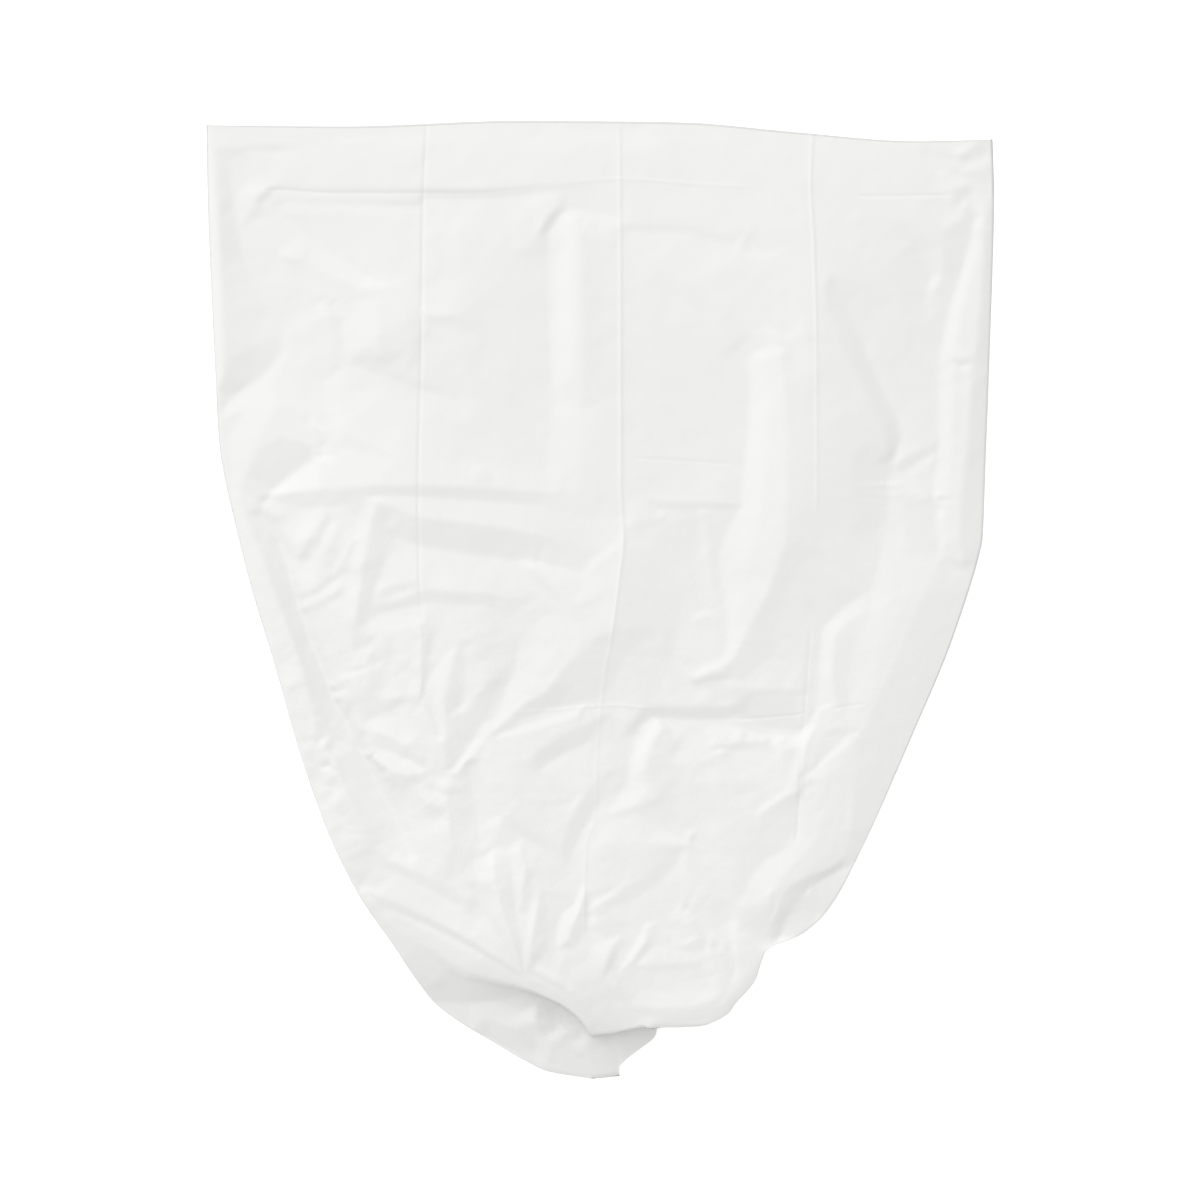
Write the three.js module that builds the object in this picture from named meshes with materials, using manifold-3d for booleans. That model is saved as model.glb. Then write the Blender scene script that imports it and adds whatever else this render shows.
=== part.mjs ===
// A white plastic-film trash can liner, lying on its back on a level floor.
//
// The real bag is one piece: a blown tube of thin film, left open at the mouth and closed at the other
// end by one short heat seal across the folded tube, which opens out as a star. Laid out, the mouth end
// is nearly flat and as wide as the tube, and towards the seal the film draws together into a puffed,
// pleated pouch.
//
// Millimetres, +Z up. The mouth faces +Y, the gathered seal faces -Y, the back film lies on the floor at
// z = 0, and the origin is on the floor under the middle of the bag.

import * as THREE from "three";
import { mergeVertices } from "three/addons/utils/BufferGeometryUtils.js";
import Module from "manifold-3d";

const wasm = await Module();
wasm.setup();

// The film
const mouthWidth = 610; // flat width of the tube, corner to corner at the mouth
const filmWall = 1.0; // wall of this solid; the real film is about 0.023 thick
const sideFold = 2.6; // height of the two sides, where the front film folds under into the back film
const sideMargin = 3.0; // film that the hollow leaves along each side
const backLip = 5; // how far the back film reaches past the front film at the mouth

// The puffed shape
const rollWidth = 52; // how far in from a side the film takes to round up to its full height
const sealDrop = 648; // from the mouth line to where the hollow ends at the gathered seal
const lowestCrown = 5; // the least height of a row's middle, where its layers of film lie on each other
const mouthWaveReach = 120; // how far down the bag the wave of the mouth's edge dies away

// The blocks that the bag is cut from
const sideCrowding = 0.07; // how much closer the columns stand near the sides, where the film rounds up
const baseDepth = 10; // how far a block reaches below the floor before it is cut level
const mouthOverrun = 12; // how far the hollow is carried out past the mouth
const trimWidening = 1.04; // how much wider than the bag the block is that trims the front film

// Each side of the lying bag, mouth first: how far it is drawn in from the mouth's corner, and how far
// below the mouth line. A row of the bag joins a point on the left to the point of the same number on the
// right.
const leftSide = [
  [0, 2], [1, 61], [6, 193], [9, 247], [30, 340], [51, 418], [74, 495], [96, 557], [122, 604],
  [144, 635], [164, 666], [175, 681], [194, 697], [220, 712], [247, 728], [264, 735], [295, 741],
];
const rightSide = [
  [0, 13], [0, 61], [4, 185], [6, 259], [9, 328], [34, 402], [67, 480], [102, 557], [126, 604],
  [150, 628], [177, 639], [200, 679], [222, 697], [260, 700], [262, 709], [288, 731], [289, 740],
];

// The mouth's edge isn't straight: how far it lies below the line between its corners, against the share
// across.
const mouthWave = [[0, 0], [0.25, -5], [0.5, -7.5], [0.72, -4], [0.91, 2.5], [1, 0]];

// Height of the front film along the bag, against the distance below the mouth line.
const loft = [
  [0, 10], [60, 13], [200, 17], [330, 21], [460, 28],
  [570, 37], [625, 35], [665, 24], [705, 13], [741, 5],
];

// The folds that stand out of that height or sink into it, as straight runs from one point to another.
const folds = [
  { name: "centre_strip", from: [-24, 300], to: [-21, 120], rise: 8, halfWidth: 24 },
  { name: "right_strip", from: [126, 196], to: [122, 80], rise: 11, halfWidth: 34 },
  { name: "right_strip_foot", from: [122, 80], to: [96, -60], rise: 11, halfWidth: 38 },
  { name: "left_swell", from: [-200, 250], to: [-150, 130], rise: 6, halfWidth: 60 },
  { name: "right_roll", from: [285, 250], to: [275, 60], rise: 7, halfWidth: 26 },
  { name: "upper_valley", from: [-240, 78], to: [110, 76], rise: -6, halfWidth: 20 },
  { name: "cross_ridge", from: [-165, 68], to: [14, 52], rise: 5, halfWidth: 18 },
  { name: "lower_valley", from: [-150, 42], to: [0, 28], rise: -6, halfWidth: 20 },
  { name: "left_flank_valley", from: [-240, 28], to: [-172, -190], rise: -6, halfWidth: 22 },
  { name: "right_flank_ridge", from: [250, -10], to: [175, -170], rise: 8, halfWidth: 34 },
  { name: "star_fold_up", from: [-87, -109], to: [-95, -10], rise: 8, halfWidth: 22 },
  { name: "star_fold_right", from: [-87, -109], to: [-5, -30], rise: 9, halfWidth: 24 },
  { name: "star_fold_left", from: [-87, -109], to: [-170, -60], rise: 6, halfWidth: 24 },
  { name: "pouch_crown", from: [-20, -200], to: [90, -215], rise: 10, halfWidth: 75 },
  { name: "pouch_pleat", from: [-52, -282], to: [-85, -200], rise: 7, halfWidth: 22 },
  { name: "seal_pit", from: [-52, -292], to: [-30, -312], rise: -10, halfWidth: 22 },
];

// How finely the solid follows the film
const rowPitch = 18;
const columnPitch = 21;

// A smooth curve of y against x through a list of pairs.
function through(pairs) {
  const knots = pairs.map(([x, y]) => new THREE.Vector2(x, y));
  const slopeAt = (i) => {
    const before = knots[Math.max(i - 1, 0)];
    const after = knots[Math.min(i + 1, knots.length - 1)];
    return (after.y - before.y) / (after.x - before.x);
  };
  return (x) => {
    const next = knots.findIndex((knot) => knot.x > x);
    if (next <= 0) return next ? knots.at(-1).y : knots[0].y;
    const [a, b] = [knots[next - 1], knots[next]];
    const span = b.x - a.x;
    const share = (x - a.x) / span;
    const [square, cube] = [share ** 2, share ** 3];
    const fromStart = (2 * cube - 3 * square + 1) * a.y + (cube - 2 * square + share) * slopeAt(next - 1) * span;
    const fromEnd = (3 * square - 2 * cube) * b.y + (cube - square) * slopeAt(next) * span;
    return fromStart + fromEnd;
  };
}

const loftAt = through(loft);
const mouthWaveAt = through(mouthWave);

// The two sides as plan curves: x to the right of the middle, y down from the mouth line.
const sideCurve = (side, sign) => {
  const points = side.map(([inset, drop]) => new THREE.Vector2(sign * (mouthWidth / 2 - inset), drop));
  return new THREE.SplineCurve(points);
};
const leftCurve = sideCurve(leftSide, -1);
const rightCurve = sideCurve(rightSide, 1);
const meanDrop = (share) => (leftCurve.getPoint(share).y + rightCurve.getPoint(share).y) / 2;
const firstDrop = meanDrop(0);
const lastDrop = meanDrop(1);

// The two ends of the bag's row at a mean distance below the mouth line. Above the first row they are
// carried straight on.
function rowAt(drop) {
  let [near, far] = [0, 1];
  for (let step = 0; step < 40; step++) {
    const middle = (near + far) / 2;
    if (meanDrop(middle) < drop) near = middle;
    else far = middle;
  }
  const left = leftCurve.getPoint(near);
  const right = rightCurve.getPoint(near);
  const carry = Math.min(drop - firstDrop, 0);
  left.y += carry;
  right.y += carry;
  return { left, right, width: left.distanceTo(right) };
}

// A point of the plan: so far across a row, from 0 at the left side to 1 at the right.
function planPoint(row, drop, across) {
  const point = row.left.clone().lerp(row.right, across);
  const fade = THREE.MathUtils.clamp(1 - drop / mouthWaveReach, 0, 1);
  return new THREE.Vector3(point.x, lastDrop / 2 - point.y - mouthWaveAt(across) * fade, 0);
}

// Height that one fold adds at a point: full along its run, falling smoothly to nothing at its half width.
function foldHeight(fold, point) {
  const run = new THREE.Line3(new THREE.Vector3(...fold.from, 0), new THREE.Vector3(...fold.to, 0));
  const nearest = run.closestPointToPoint(point, true, new THREE.Vector3());
  const away = point.distanceTo(nearest) / fold.halfWidth;
  return away < 1 ? fold.rise * (1 - away ** 2) ** 2 : 0;
}

// Height of the outside of the front film over the floor.
function filmHeight(row, drop, across) {
  const fromSide = Math.min(across, 1 - across) * row.width;
  const roll = Math.min(fromSide / Math.min(rollWidth, row.width / 2), 1);
  const rounded = Math.sqrt(1 - (1 - roll) ** 2);
  const point = planPoint(row, drop, across);
  const relief = folds.reduce((sum, fold) => sum + foldHeight(fold, point), 0);
  const crown = Math.max(loftAt(drop) + relief, lowestCrown);
  return sideFold + (crown - sideFold) * rounded;
}

// The rows and columns that the outside and the hollow share, so that the wall between them is even.
const evenly = (from, to, pitch) => {
  const steps = Math.max(Math.round((to - from) / pitch), 1);
  return Array.from({ length: steps }, (_, i) => from + ((to - from) * i) / steps);
};
const rowDrops = [
  ...evenly(firstDrop, firstDrop + backLip, backLip),
  ...evenly(firstDrop + backLip, sealDrop, rowPitch),
  ...evenly(sealDrop, lastDrop, rowPitch / 2),
  lastDrop,
];
const sealRow = rowDrops.indexOf(sealDrop);
const columns = Math.round(mouthWidth / columnPitch);

// How far across a row a column stands: the outermost two at the sides, the next at the hollow's edges.
function acrossAt(column, row) {
  if (column === 0 || column === columns) return column / columns;
  const edge = Math.min(sideMargin / row.width, 1 / columns);
  const share = (column - 1) / (columns - 2);
  const eased = share - sideCrowding * Math.sin(2 * Math.PI * share);
  return THREE.MathUtils.lerp(edge, 1 - edge, eased);
}

// A closed block that stands on a deep base and follows the film's rows and columns on top.
function filmBlock(drops, firstColumn, lastColumn, heightAt, widening = 1) {
  const across = lastColumn - firstColumn;
  const along = drops.length - 1;
  const block = new THREE.BoxGeometry(1, 1, 1, across, along, 1);
  block.deleteAttribute("normal");
  block.deleteAttribute("uv");
  const solid = mergeVertices(block);
  const position = solid.getAttribute("position");
  for (let i = 0; i < position.count; i++) {
    const drop = drops[Math.round((0.5 - position.getY(i)) * along)];
    const row = rowAt(drop);
    const share = acrossAt(firstColumn + Math.round((position.getX(i) + 0.5) * across), row);
    const point = planPoint(row, drop, 0.5 + (share - 0.5) * widening);
    const onTop = position.getZ(i) > 0;
    position.setXYZ(i, point.x, point.y, onTop ? heightAt(row, drop, share) : -baseDepth);
  }
  return manifoldOf(solid);
}

function manifoldOf(geometry) {
  return new wasm.Manifold(new wasm.Mesh({
    numProp: 3,
    vertProperties: geometry.getAttribute("position").array,
    triVerts: new Uint32Array(geometry.index.array),
  }));
}

// A slab far wider than the bag, with its top at a height: what it takes away leaves one flat face.
function slabBelow(height) {
  const slab = new THREE.BoxGeometry(3 * mouthWidth, 3 * lastDrop, 2 * baseDepth);
  slab.translate(0, 0, height - baseDepth);
  slab.deleteAttribute("normal");
  slab.deleteAttribute("uv");
  return manifoldOf(mergeVertices(slab));
}

// The outside of the bag, less the hollow between its two films, less the front film past its own edge at
// the mouth.
function linerSolid() {
  const beforeMouth = firstDrop - mouthOverrun;
  const underFilm = (row, drop, share) => filmHeight(row, Math.max(drop, firstDrop), share) - filmWall;
  const overFilm = (row, drop, share) => filmHeight(row, firstDrop, share) + mouthOverrun;
  const outside = filmBlock(rowDrops, 0, columns, filmHeight).subtract(slabBelow(0));
  const hollow = filmBlock([beforeMouth, ...rowDrops.slice(0, sealRow + 1)], 1, columns - 1, underFilm);
  const mouthTrim = filmBlock([beforeMouth, firstDrop + backLip], 0, columns, overFilm, trimWidening);
  return outside.subtract(hollow.add(mouthTrim).subtract(slabBelow(filmWall)));
}

function geometryOf(solid) {
  const { vertProperties, triVerts } = solid.getMesh();
  const geometry = new THREE.BufferGeometry();
  geometry.setAttribute("position", new THREE.BufferAttribute(vertProperties, 3));
  geometry.setIndex(new THREE.BufferAttribute(triVerts, 1));
  geometry.computeBoundingBox();
  const middle = geometry.boundingBox.getCenter(new THREE.Vector3());
  return geometry.translate(-middle.x, -middle.y, 0);
}

const whiteFilm = new THREE.MeshStandardMaterial({ color: 0xeeeeec, roughness: 0.35, metalness: 0 });

const liner = new THREE.Mesh(geometryOf(linerSolid()), whiteFilm);
liner.name = "liner";

const bag = new THREE.Group();
bag.add(liner);

export default bag;
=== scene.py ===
# %% [markdown]
# # A trash can liner in white plastic film
#
# The real thing is one bag. A tube of thin polyethylene film is blown, cut off, and closed at one end by a
# short heat seal across the folded tube, which opens out as a star of pleats. The bag lies on its back with
# its wide open mouth at the top of the picture, and towards the seal it puffs up and draws together. Film
# this thin has no shape of its own, so everything the eye reads is in its folds: factory creases, long soft
# valleys, sharp little facets, and pleats that run into the seal.
#
# This lesson builds the bag as one surface. It sets up the picture first, then the plan of the bag, then
# its height over the floor in three layers (loft, folds, crumple), and last the mesh, its material and the
# light.

# %% Load the model and the tools
import math
import random

import bmesh
import bpy
import numpy as np
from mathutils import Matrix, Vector, geometry
from mathutils.bvhtree import BVHTree


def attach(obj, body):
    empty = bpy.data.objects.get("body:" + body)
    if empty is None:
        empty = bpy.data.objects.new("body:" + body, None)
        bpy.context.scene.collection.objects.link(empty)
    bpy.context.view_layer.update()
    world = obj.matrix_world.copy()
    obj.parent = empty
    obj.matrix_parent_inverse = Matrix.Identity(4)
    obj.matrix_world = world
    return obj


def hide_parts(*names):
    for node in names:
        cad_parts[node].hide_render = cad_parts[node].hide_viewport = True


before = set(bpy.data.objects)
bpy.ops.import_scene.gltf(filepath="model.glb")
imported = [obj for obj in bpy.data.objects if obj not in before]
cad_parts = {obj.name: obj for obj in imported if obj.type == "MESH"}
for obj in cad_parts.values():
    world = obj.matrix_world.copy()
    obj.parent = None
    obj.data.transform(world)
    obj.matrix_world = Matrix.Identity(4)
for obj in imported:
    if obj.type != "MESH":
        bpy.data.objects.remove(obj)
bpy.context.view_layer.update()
MM = 0.001

# %% [markdown]
# ## The camera
#
# The photograph looks straight down, with the bag's mouth upwards. A long lens from high above keeps the
# sides of the bag as straight as the photograph does. The picture is 1200 pixels wide and high, and one of
# them covers 0.775 mm of the floor.

# %% Place the camera
PICTURE_PIXELS = 1200
MM_PER_PIXEL = 0.775
CAMERA_HEIGHT = 3.2
SENSOR_MM = 36

view_width = PICTURE_PIXELS * MM_PER_PIXEL * MM
camera_data = bpy.data.cameras.new("overhead_camera")
camera_data.sensor_width = SENSOR_MM
camera_data.lens = SENSOR_MM * CAMERA_HEIGHT / view_width
camera = bpy.data.objects.new("overhead_camera", camera_data)
camera.location = (0, 0, CAMERA_HEIGHT)
bpy.context.collection.objects.link(camera)
bpy.context.scene.camera = camera
print("lens:", round(camera_data.lens, 1), "mm from", CAMERA_HEIGHT, "m")

# %% [markdown]
# ## The plan of the bag
#
# Seen from above, the bag is bounded by its two sides, where the front film folds under into the back film.
# A row of the film runs from a point on the left side to the point on the right side with the same number,
# from row 0 at the mouth to row 16 at the tip by the seal. All places are in millimetres, from the middle
# of the bag, as measured on the photograph.

# %% Trace the two sides
LAST_ROW = 16
LEFT_SIDE = [  # row, x, y
    (0, -305, 368), (1, -304, 309), (2, -298, 178), (3, -295, 124), (4, -275, 30), (5, -252, -48),
    (6, -230, -124), (7, -207, -186), (8, -182, -234), (9, -161, -264), (10, -141, -295), (11, -129, -311),
    (12, -110, -326), (13, -85, -341), (14, -58, -357), (15, -41, -365), (16, -5, -371),
]
RIGHT_SIDE = [
    (0, 304, 357), (1, 305, 309), (2, 301, 185), (3, 298, 111), (3.9, 295, 46), (4, 294, 41), (5, 271, -31),
    (6, 238, -109), (7, 203, -187), (8, 180, -231), (8.5, 169, -245), (9, 154, -257), (10, 127, -269),
    (10.3, 124, -276), (10.6, 119, -291), (11, 104, -309), (11.4, 98, -317), (12, 76, -327), (13, 45, -329),
    (14, 43, -337), (15, 20, -356), (15.5, 15, -362), (16, 15, -369),
]


def through(pairs):
    """A smooth curve through (place, value) pairs that never swings past them."""
    places = np.array([pair[0] for pair in pairs], float)
    values = np.array([pair[1] for pair in pairs], float)
    steps = np.diff(places)
    slopes = np.diff(values) / steps
    turns = slopes[:-1] * slopes[1:] > 0
    middle = np.zeros(len(places) - 2)
    middle[turns] = 2 * slopes[:-1][turns] * slopes[1:][turns] / (slopes[:-1] + slopes[1:])[turns]
    tangents = np.concatenate([slopes[:1], middle, slopes[-1:]])

    def curve(at):
        at = np.clip(np.asarray(at, float), places[0], places[-1])
        part = np.clip(np.searchsorted(places, at, "right") - 1, 0, len(steps) - 1)
        share = (at - places[part]) / steps[part]
        square = share ** 2
        cube = share ** 3
        start = ((2 * cube - 3 * square + 1) * values[part]
                 + (cube - 2 * square + share) * steps[part] * tangents[part])
        end = ((3 * square - 2 * cube) * values[part + 1]
               + (cube - square) * steps[part] * tangents[part + 1])
        return start + end

    return curve


left_x = through([(row, x) for row, x, y in LEFT_SIDE])
left_y = through([(row, y) for row, x, y in LEFT_SIDE])
right_x = through([(row, x) for row, x, y in RIGHT_SIDE])
right_y = through([(row, y) for row, x, y in RIGHT_SIDE])
print("bag spans", LEFT_SIDE[0][1], "to", RIGHT_SIDE[1][1], "mm across and", LEFT_SIDE[-1][2], "to",
      LEFT_SIDE[0][2], "mm along")

# %% [markdown]
# ## Factory creases
#
# Before it is boxed, the tube is folded flat into quarters of its width and of its length. The sharp lines
# stay in the film: three run down the front film and a few run across it. They are the straightest things
# on the bag, so the mesh is laid out along them. Each long crease is where a column of the mesh runs, and
# each cross crease bends a row. Pressed lines that stand up are ridges, and those that sink are grooves.

# %% Lay out the creases
LEFT_CREASE = [
    (370, -134), (300, -137), (200, -138), (90, -140), (10, -139), (-30, -136), (-70, -137), (-105, -127),
    (-137, -120), (-200, -104), (-300, -70), (-371, -5),
]
CENTRE_CREASE = [
    (370, 15), (200, 16), (100, 16), (50, 18), (20, 15), (-30, 9), (-60, 4), (-120, -2), (-170, -4),
    (-190, -11), (-250, -12), (-310, -12), (-371, 1),
]
RIGHT_CREASE = [
    (370, 165), (320, 163), (280, 165), (200, 167), (100, 167), (40, 165), (0, 163), (-60, 159), (-85, 157),
    (-110, 155), (-180, 151), (-220, 134), (-270, 90), (-330, 34), (-371, 8),
]
SHARP_ROWS = (0.92, 3.0, 5.6)
CROSS_CREASES = [  # row, and how far up the bag the line of that row lies at places across
    (0, [(-305, 0), (-200, 1), (-60, 8), (60, 9), (150, 3), (240, -2.5), (285, -1), (305, 0)]),
    (0.92, [(-300, 3), (-262, 3), (-205, 0), (-138, 0), (-100, 0), (-55, 4), (16, 11), (75, 7), (110, 5),
            (200, -2), (268, -1), (300, 0)]),
    (3.0, [(-300, 0), (0, -8), (30, -8), (100, -10), (300, 0)]),
    (5.6, [(-250, 0), (-60, 2), (10, 5), (35, 2), (60, -1), (105, -9), (155, -7), (200, -1), (240, 0)]),
    (7.5, [(-200, 0), (200, 0)]),
    (16, [(-10, 0), (15, 0)]),
]
CREASE_HALF_WIDTH = 0.9
SETTLING_STEPS = 6


def guide_places(row):
    """Where a row meets its five guides, the two sides and three long creases, as shares across it."""
    start = np.array([left_x(row), left_y(row)])
    end = np.array([right_x(row), right_y(row)])
    shares = [0.0]
    for crease in (left_crease, centre_crease, right_crease):
        share = 0.5
        for _ in range(SETTLING_STEPS):
            share = (crease(-(start[1] + share * (end[1] - start[1]))) - start[0]) / (end[0] - start[0])
        shares.append(float(share))
    return shares + [1.0]


left_crease = through([(-y, x) for y, x in LEFT_CREASE])
centre_crease = through([(-y, x) for y, x in CENTRE_CREASE])
right_crease = through([(-y, x) for y, x in RIGHT_CREASE])
bend_rows = [row for row, bend in CROSS_CREASES]
bend_curves = [through(bend) for row, bend in CROSS_CREASES]
print("guides across row 3:", [round(share, 3) for share in guide_places(3)])


def row_bend(row, x):
    """How far a point of a row is moved up the bag, so that rows follow the mouth and the cross creases."""
    after = min(max(int(np.searchsorted(bend_rows, row, "right")), 1), len(bend_rows) - 1)
    before = after - 1
    share = (row - bend_rows[before]) / (bend_rows[after] - bend_rows[before])
    eased = share * share * (3 - 2 * share)
    return (1 - eased) * bend_curves[before](x) + eased * bend_curves[after](x)


# %% [markdown]
# ## The loft
#
# The first layer of height is the smooth puff of the bag: nearly flat at the mouth, and highest at the
# pouch before the seal. It drops towards both sides, where it meets the back film some way above the floor,
# because the tube is round there. How far in from a side the drop begins differs along the bag: at the
# mouth the side is a tight fold, and beside the pouch it is a broad flank.

# %% Set the loft and the rounding of the sides
LOFT = [(-371, 37), (-325, 37), (-305, 36.5), (-190, 30), (-100, 26), (0, 22), (100, 17), (200, 12), (300, 7),
        (340, 4.4), (371, 1.6)]
LEFT_EDGE = [(-371, 1.5), (-330, 3), (-312, 3), (-290, 11), (-275, 14), (-247, 16), (-205, 17), (-150, 14),
             (-50, 11), (50, 7), (150, 4), (300, 2.4), (371, 1.2)]
RIGHT_EDGE = [(-371, 1.5), (-345, 4), (-334, 12), (-326, 35), (-270, 35), (-258, 29), (-240, 27), (-225, 27),
              (-205, 27), (-150, 25), (-60, 21.5), (0, 17.5), (40, 14.5), (100, 10.5), (200, 7.5), (300, 4.6),
              (371, 1.2)]
LEFT_REACH = [(-371, 60), (-250, 110), (-200, 130), (0, 150), (371, 150)]
RIGHT_REACH = [(-371, 8), (-270, 8), (-250, 30), (-200, 44), (-60, 50), (0, 60), (60, 140), (371, 140)]
GENTLE_SHARE = .97
EDGE_BEND = 3.0
SIDE_STEP = .25
side_rows = np.arange(0, LAST_ROW + .01, SIDE_STEP)
loft_at = through(LOFT)
left_edge = through(LEFT_EDGE)
right_edge = through(RIGHT_EDGE)
left_reach = through(LEFT_REACH)
right_reach = through(RIGHT_REACH)
left_line = [(float(left_x(row)), float(left_y(row))) for row in side_rows]
right_line = [(float(right_x(row)), float(right_y(row))) for row in side_rows]


def distance_to(line, x, y):
    """Distance from arrays of places to the nearest point of a run of points."""
    nearest = np.full(x.shape, 1e9)
    for (x0, y0), (x1, y1) in zip(line, line[1:]):
        length = (x1 - x0) ** 2 + (y1 - y0) ** 2
        share = np.clip(((x - x0) * (x1 - x0) + (y - y0) * (y1 - y0)) / max(length, 1e-9), 0, 1)
        nearest = np.minimum(nearest, np.hypot(x - x0 - share * (x1 - x0), y - y0 - share * (y1 - y0)))
    return nearest


def side_drop(height, distance, reach):
    """How far the film drops towards one side: a gentle fall, then a tight bend at the very edge."""
    gentle = (1 - np.clip(distance / reach, 0, 1)) ** 1.5
    tight = 1 - np.sqrt(1 - (1 - np.clip(distance / EDGE_BEND, 0, 1)) ** 2)
    return height * (GENTLE_SHARE * gentle + (1 - GENTLE_SHARE) * tight)


def loft_height(x, y):
    """Height of the smooth bag at arrays of places, without the lobe under the seal."""
    top = loft_at(y)
    left_drop = side_drop(top - left_edge(y), distance_to(left_line, x, y), left_reach(y))
    right_drop = side_drop(top - right_edge(y), distance_to(right_line, x, y), right_reach(y))
    return top - left_drop - right_drop


print("loft at the pouch:", round(float(loft_at(-230)), 1), "mm")

# %% [markdown]
# ## The folds
#
# Thin film can't stretch, so where it puffs up it breaks into flat facets that meet in sharp lines. The
# second layer is a net of such lines, drawn one by one over the photograph: each is a run of points with a
# height above or below the loft. Lines that stand up are ridges, with the light on their upper side.
# Between the lines the film is pulled flat, which a Delaunay triangulation does: it joins the points into
# triangles, and each triangle is one small facet.

# %% Draw the folds of the mouth end
MOUTH_FOLDS = {
    "upper crease, first line, top": [(-262, 322, .1), (-205, 319, .35), (-141, 318.5, .4)],
    "upper crease, first line, foot": [(-255, 317, -.1), (-205, 313.5, -.3), (-141, 313.5, -.45)],
    "upper crease, second line, foot": [
        (-262, 309, -.2), (-205, 307, -.5), (-160, 305, -.8), (-141, 304.5, -1)],
    "upper crease, top": [(-135, 318.5, .4), (-100, 318, .5), (-55, 320, .4), (-10, 324, .2)],
    "upper crease, foot": [
        (-135, 312, -.9), (-100, 311, -1), (-75, 312, -.8), (-55, 314.5, -.5), (-20, 318, -.2), (14, 321, 0)],
    "under the upper crease": [
        (-240, 299, .1), (-180, 298, -.1), (-141, 298, -.4), (-100, 303, -.6), (-75, 304, -.6),
        (-58, 306, -.3)],
    "upper crease, right": [(16, 321, .2), (40, 319.5, -.1), (75, 315.5, -.1), (110, 312, 0)],
    "corner of the upper crease": [(-271, 300, .7), (-265, 312, 1.3), (-257, 319, 1.1), (-245, 322, .5)],
    "inside that corner": [(-262, 298, .1), (-256, 306, 0), (-250, 309, 0)],
    "pucker ridge": [(-49, 281, .2), (-45, 288, 1.2), (-40, 296, 1.4), (-34, 303, .6)],
    "pucker ridge 2": [(-51, 298, .2), (-47, 304, 1), (-43, 309, .3)],
    "pucker foot": [
        (-43, 283, -.5), (-37, 291, -.8), (-30, 299, -.8), (-24, 302, -.6), (-8, 300, -.6), (12, 298, -.4)],
    "line right of the crease, top": [
        (20, 291, 0), (45, 291, -.1), (72, 290, 0), (90, 284, .1), (106, 278, .1)],
    "line right of the crease, foot": [
        (22, 286, -.5), (45, 285, -.7), (70, 284, -.5), (85, 279, -.3), (105, 273, -.1)],
    "strip, left foot": [
        (-36, 293, -.7), (-40, 275, -1), (-39, 240, -1.2), (-38, 200, -1.2), (-37, 165, -1.1),
        (-34, 151, -.9)],
    "strip, crest": [(-15, 284, 2.2), (-14, 260, 3), (-13, 200, 3.3), (-14, 160, 2.2), (-20, 152, .6)],
    "faint strip, left": [(-38, 147, -.6), (-39, 125, -.5), (-42, 100, .4)],
    "faint strip, right": [(-15, 147, 1.2), (-14, 125, 1.4), (-14, 100, 1.4)],
    "right of the strip": [(0, 280, 1.2), (2, 240, 2), (2, 190, 2.2), (2, 150, 1.6), (2, 120, 1.4)],
    "bright spot right of the crease": [(22, 275, 0), (30, 268, .2), (46, 262, .5), (48, 252, .4)],
    "diagonal valley, top": [
        (45, 256, .5), (62, 247, .5), (85, 232, .6), (105, 220, .8), (125, 212, .9), (140, 205, 1.2)],
    "diagonal valley, foot": [(55, 240, .1), (75, 225, 0), (95, 208, 0), (110, 196, -.2)],
    "small dark curve": [(112, 285, .4), (117, 275, 0), (126, 269, .2)],
    "slope by the right crease": [(130, 262, 1), (150, 235, 1.6), (160, 205, 2.6)],
    "left rim": [
        (-299, 350, 1), (-297, 310, 1.8), (-295, 270, 2.2), (-293, 230, 2.2), (-292, 200, 2),
        (-291, 175, 1.2)],
    "left rim, foot": [
        (-288, 340, 0), (-282, 300, -.6), (-276, 262, -1), (-262, 240, -1.4), (-247, 214, -1.8),
        (-246, 200, -1.8), (-252, 186, -2), (-268, 172, -2.2), (-282, 160, -2), (-291, 150, -1.4)],
    "top crinkle": [(-272, 349, -.2), (-250, 348.5, -.6), (-236, 349, -.1)],
    "top crinkle, over": [(-272, 353, .2), (-250, 353, .2), (-236, 353, .2)],
    "top rise": [(-235, 358, .2), (-205, 352, .3), (-175, 360, .2), (-160, 356, .1)],
    "top rise 2": [(-165, 362, 0), (-190, 358, -.2), (-205, 361, 0)],
    "between the two lines": [(-250, 312.5, .1), (-205, 310.5, 0), (-160, 309.8, -.1), (-141, 309.8, -.2)],
    "corner, outer foot": [(-286, 302, -.4), (-281, 314, -.5), (-272, 325, -.4), (-256, 331, -.1)],
    "strip, left shoulder": [(-30, 280, .1), (-33, 255, -.5), (-33, 200, -.4), (-32, 165, -.3)],
    "strip, right shoulder": [
        (-20, 292, 1.6), (-20, 270, 2.4), (-20, 235, 2.7), (-20, 200, 2.7), (-22, 170, 1.8)],
}
print(len(MOUTH_FOLDS), "folds by the mouth")

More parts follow.
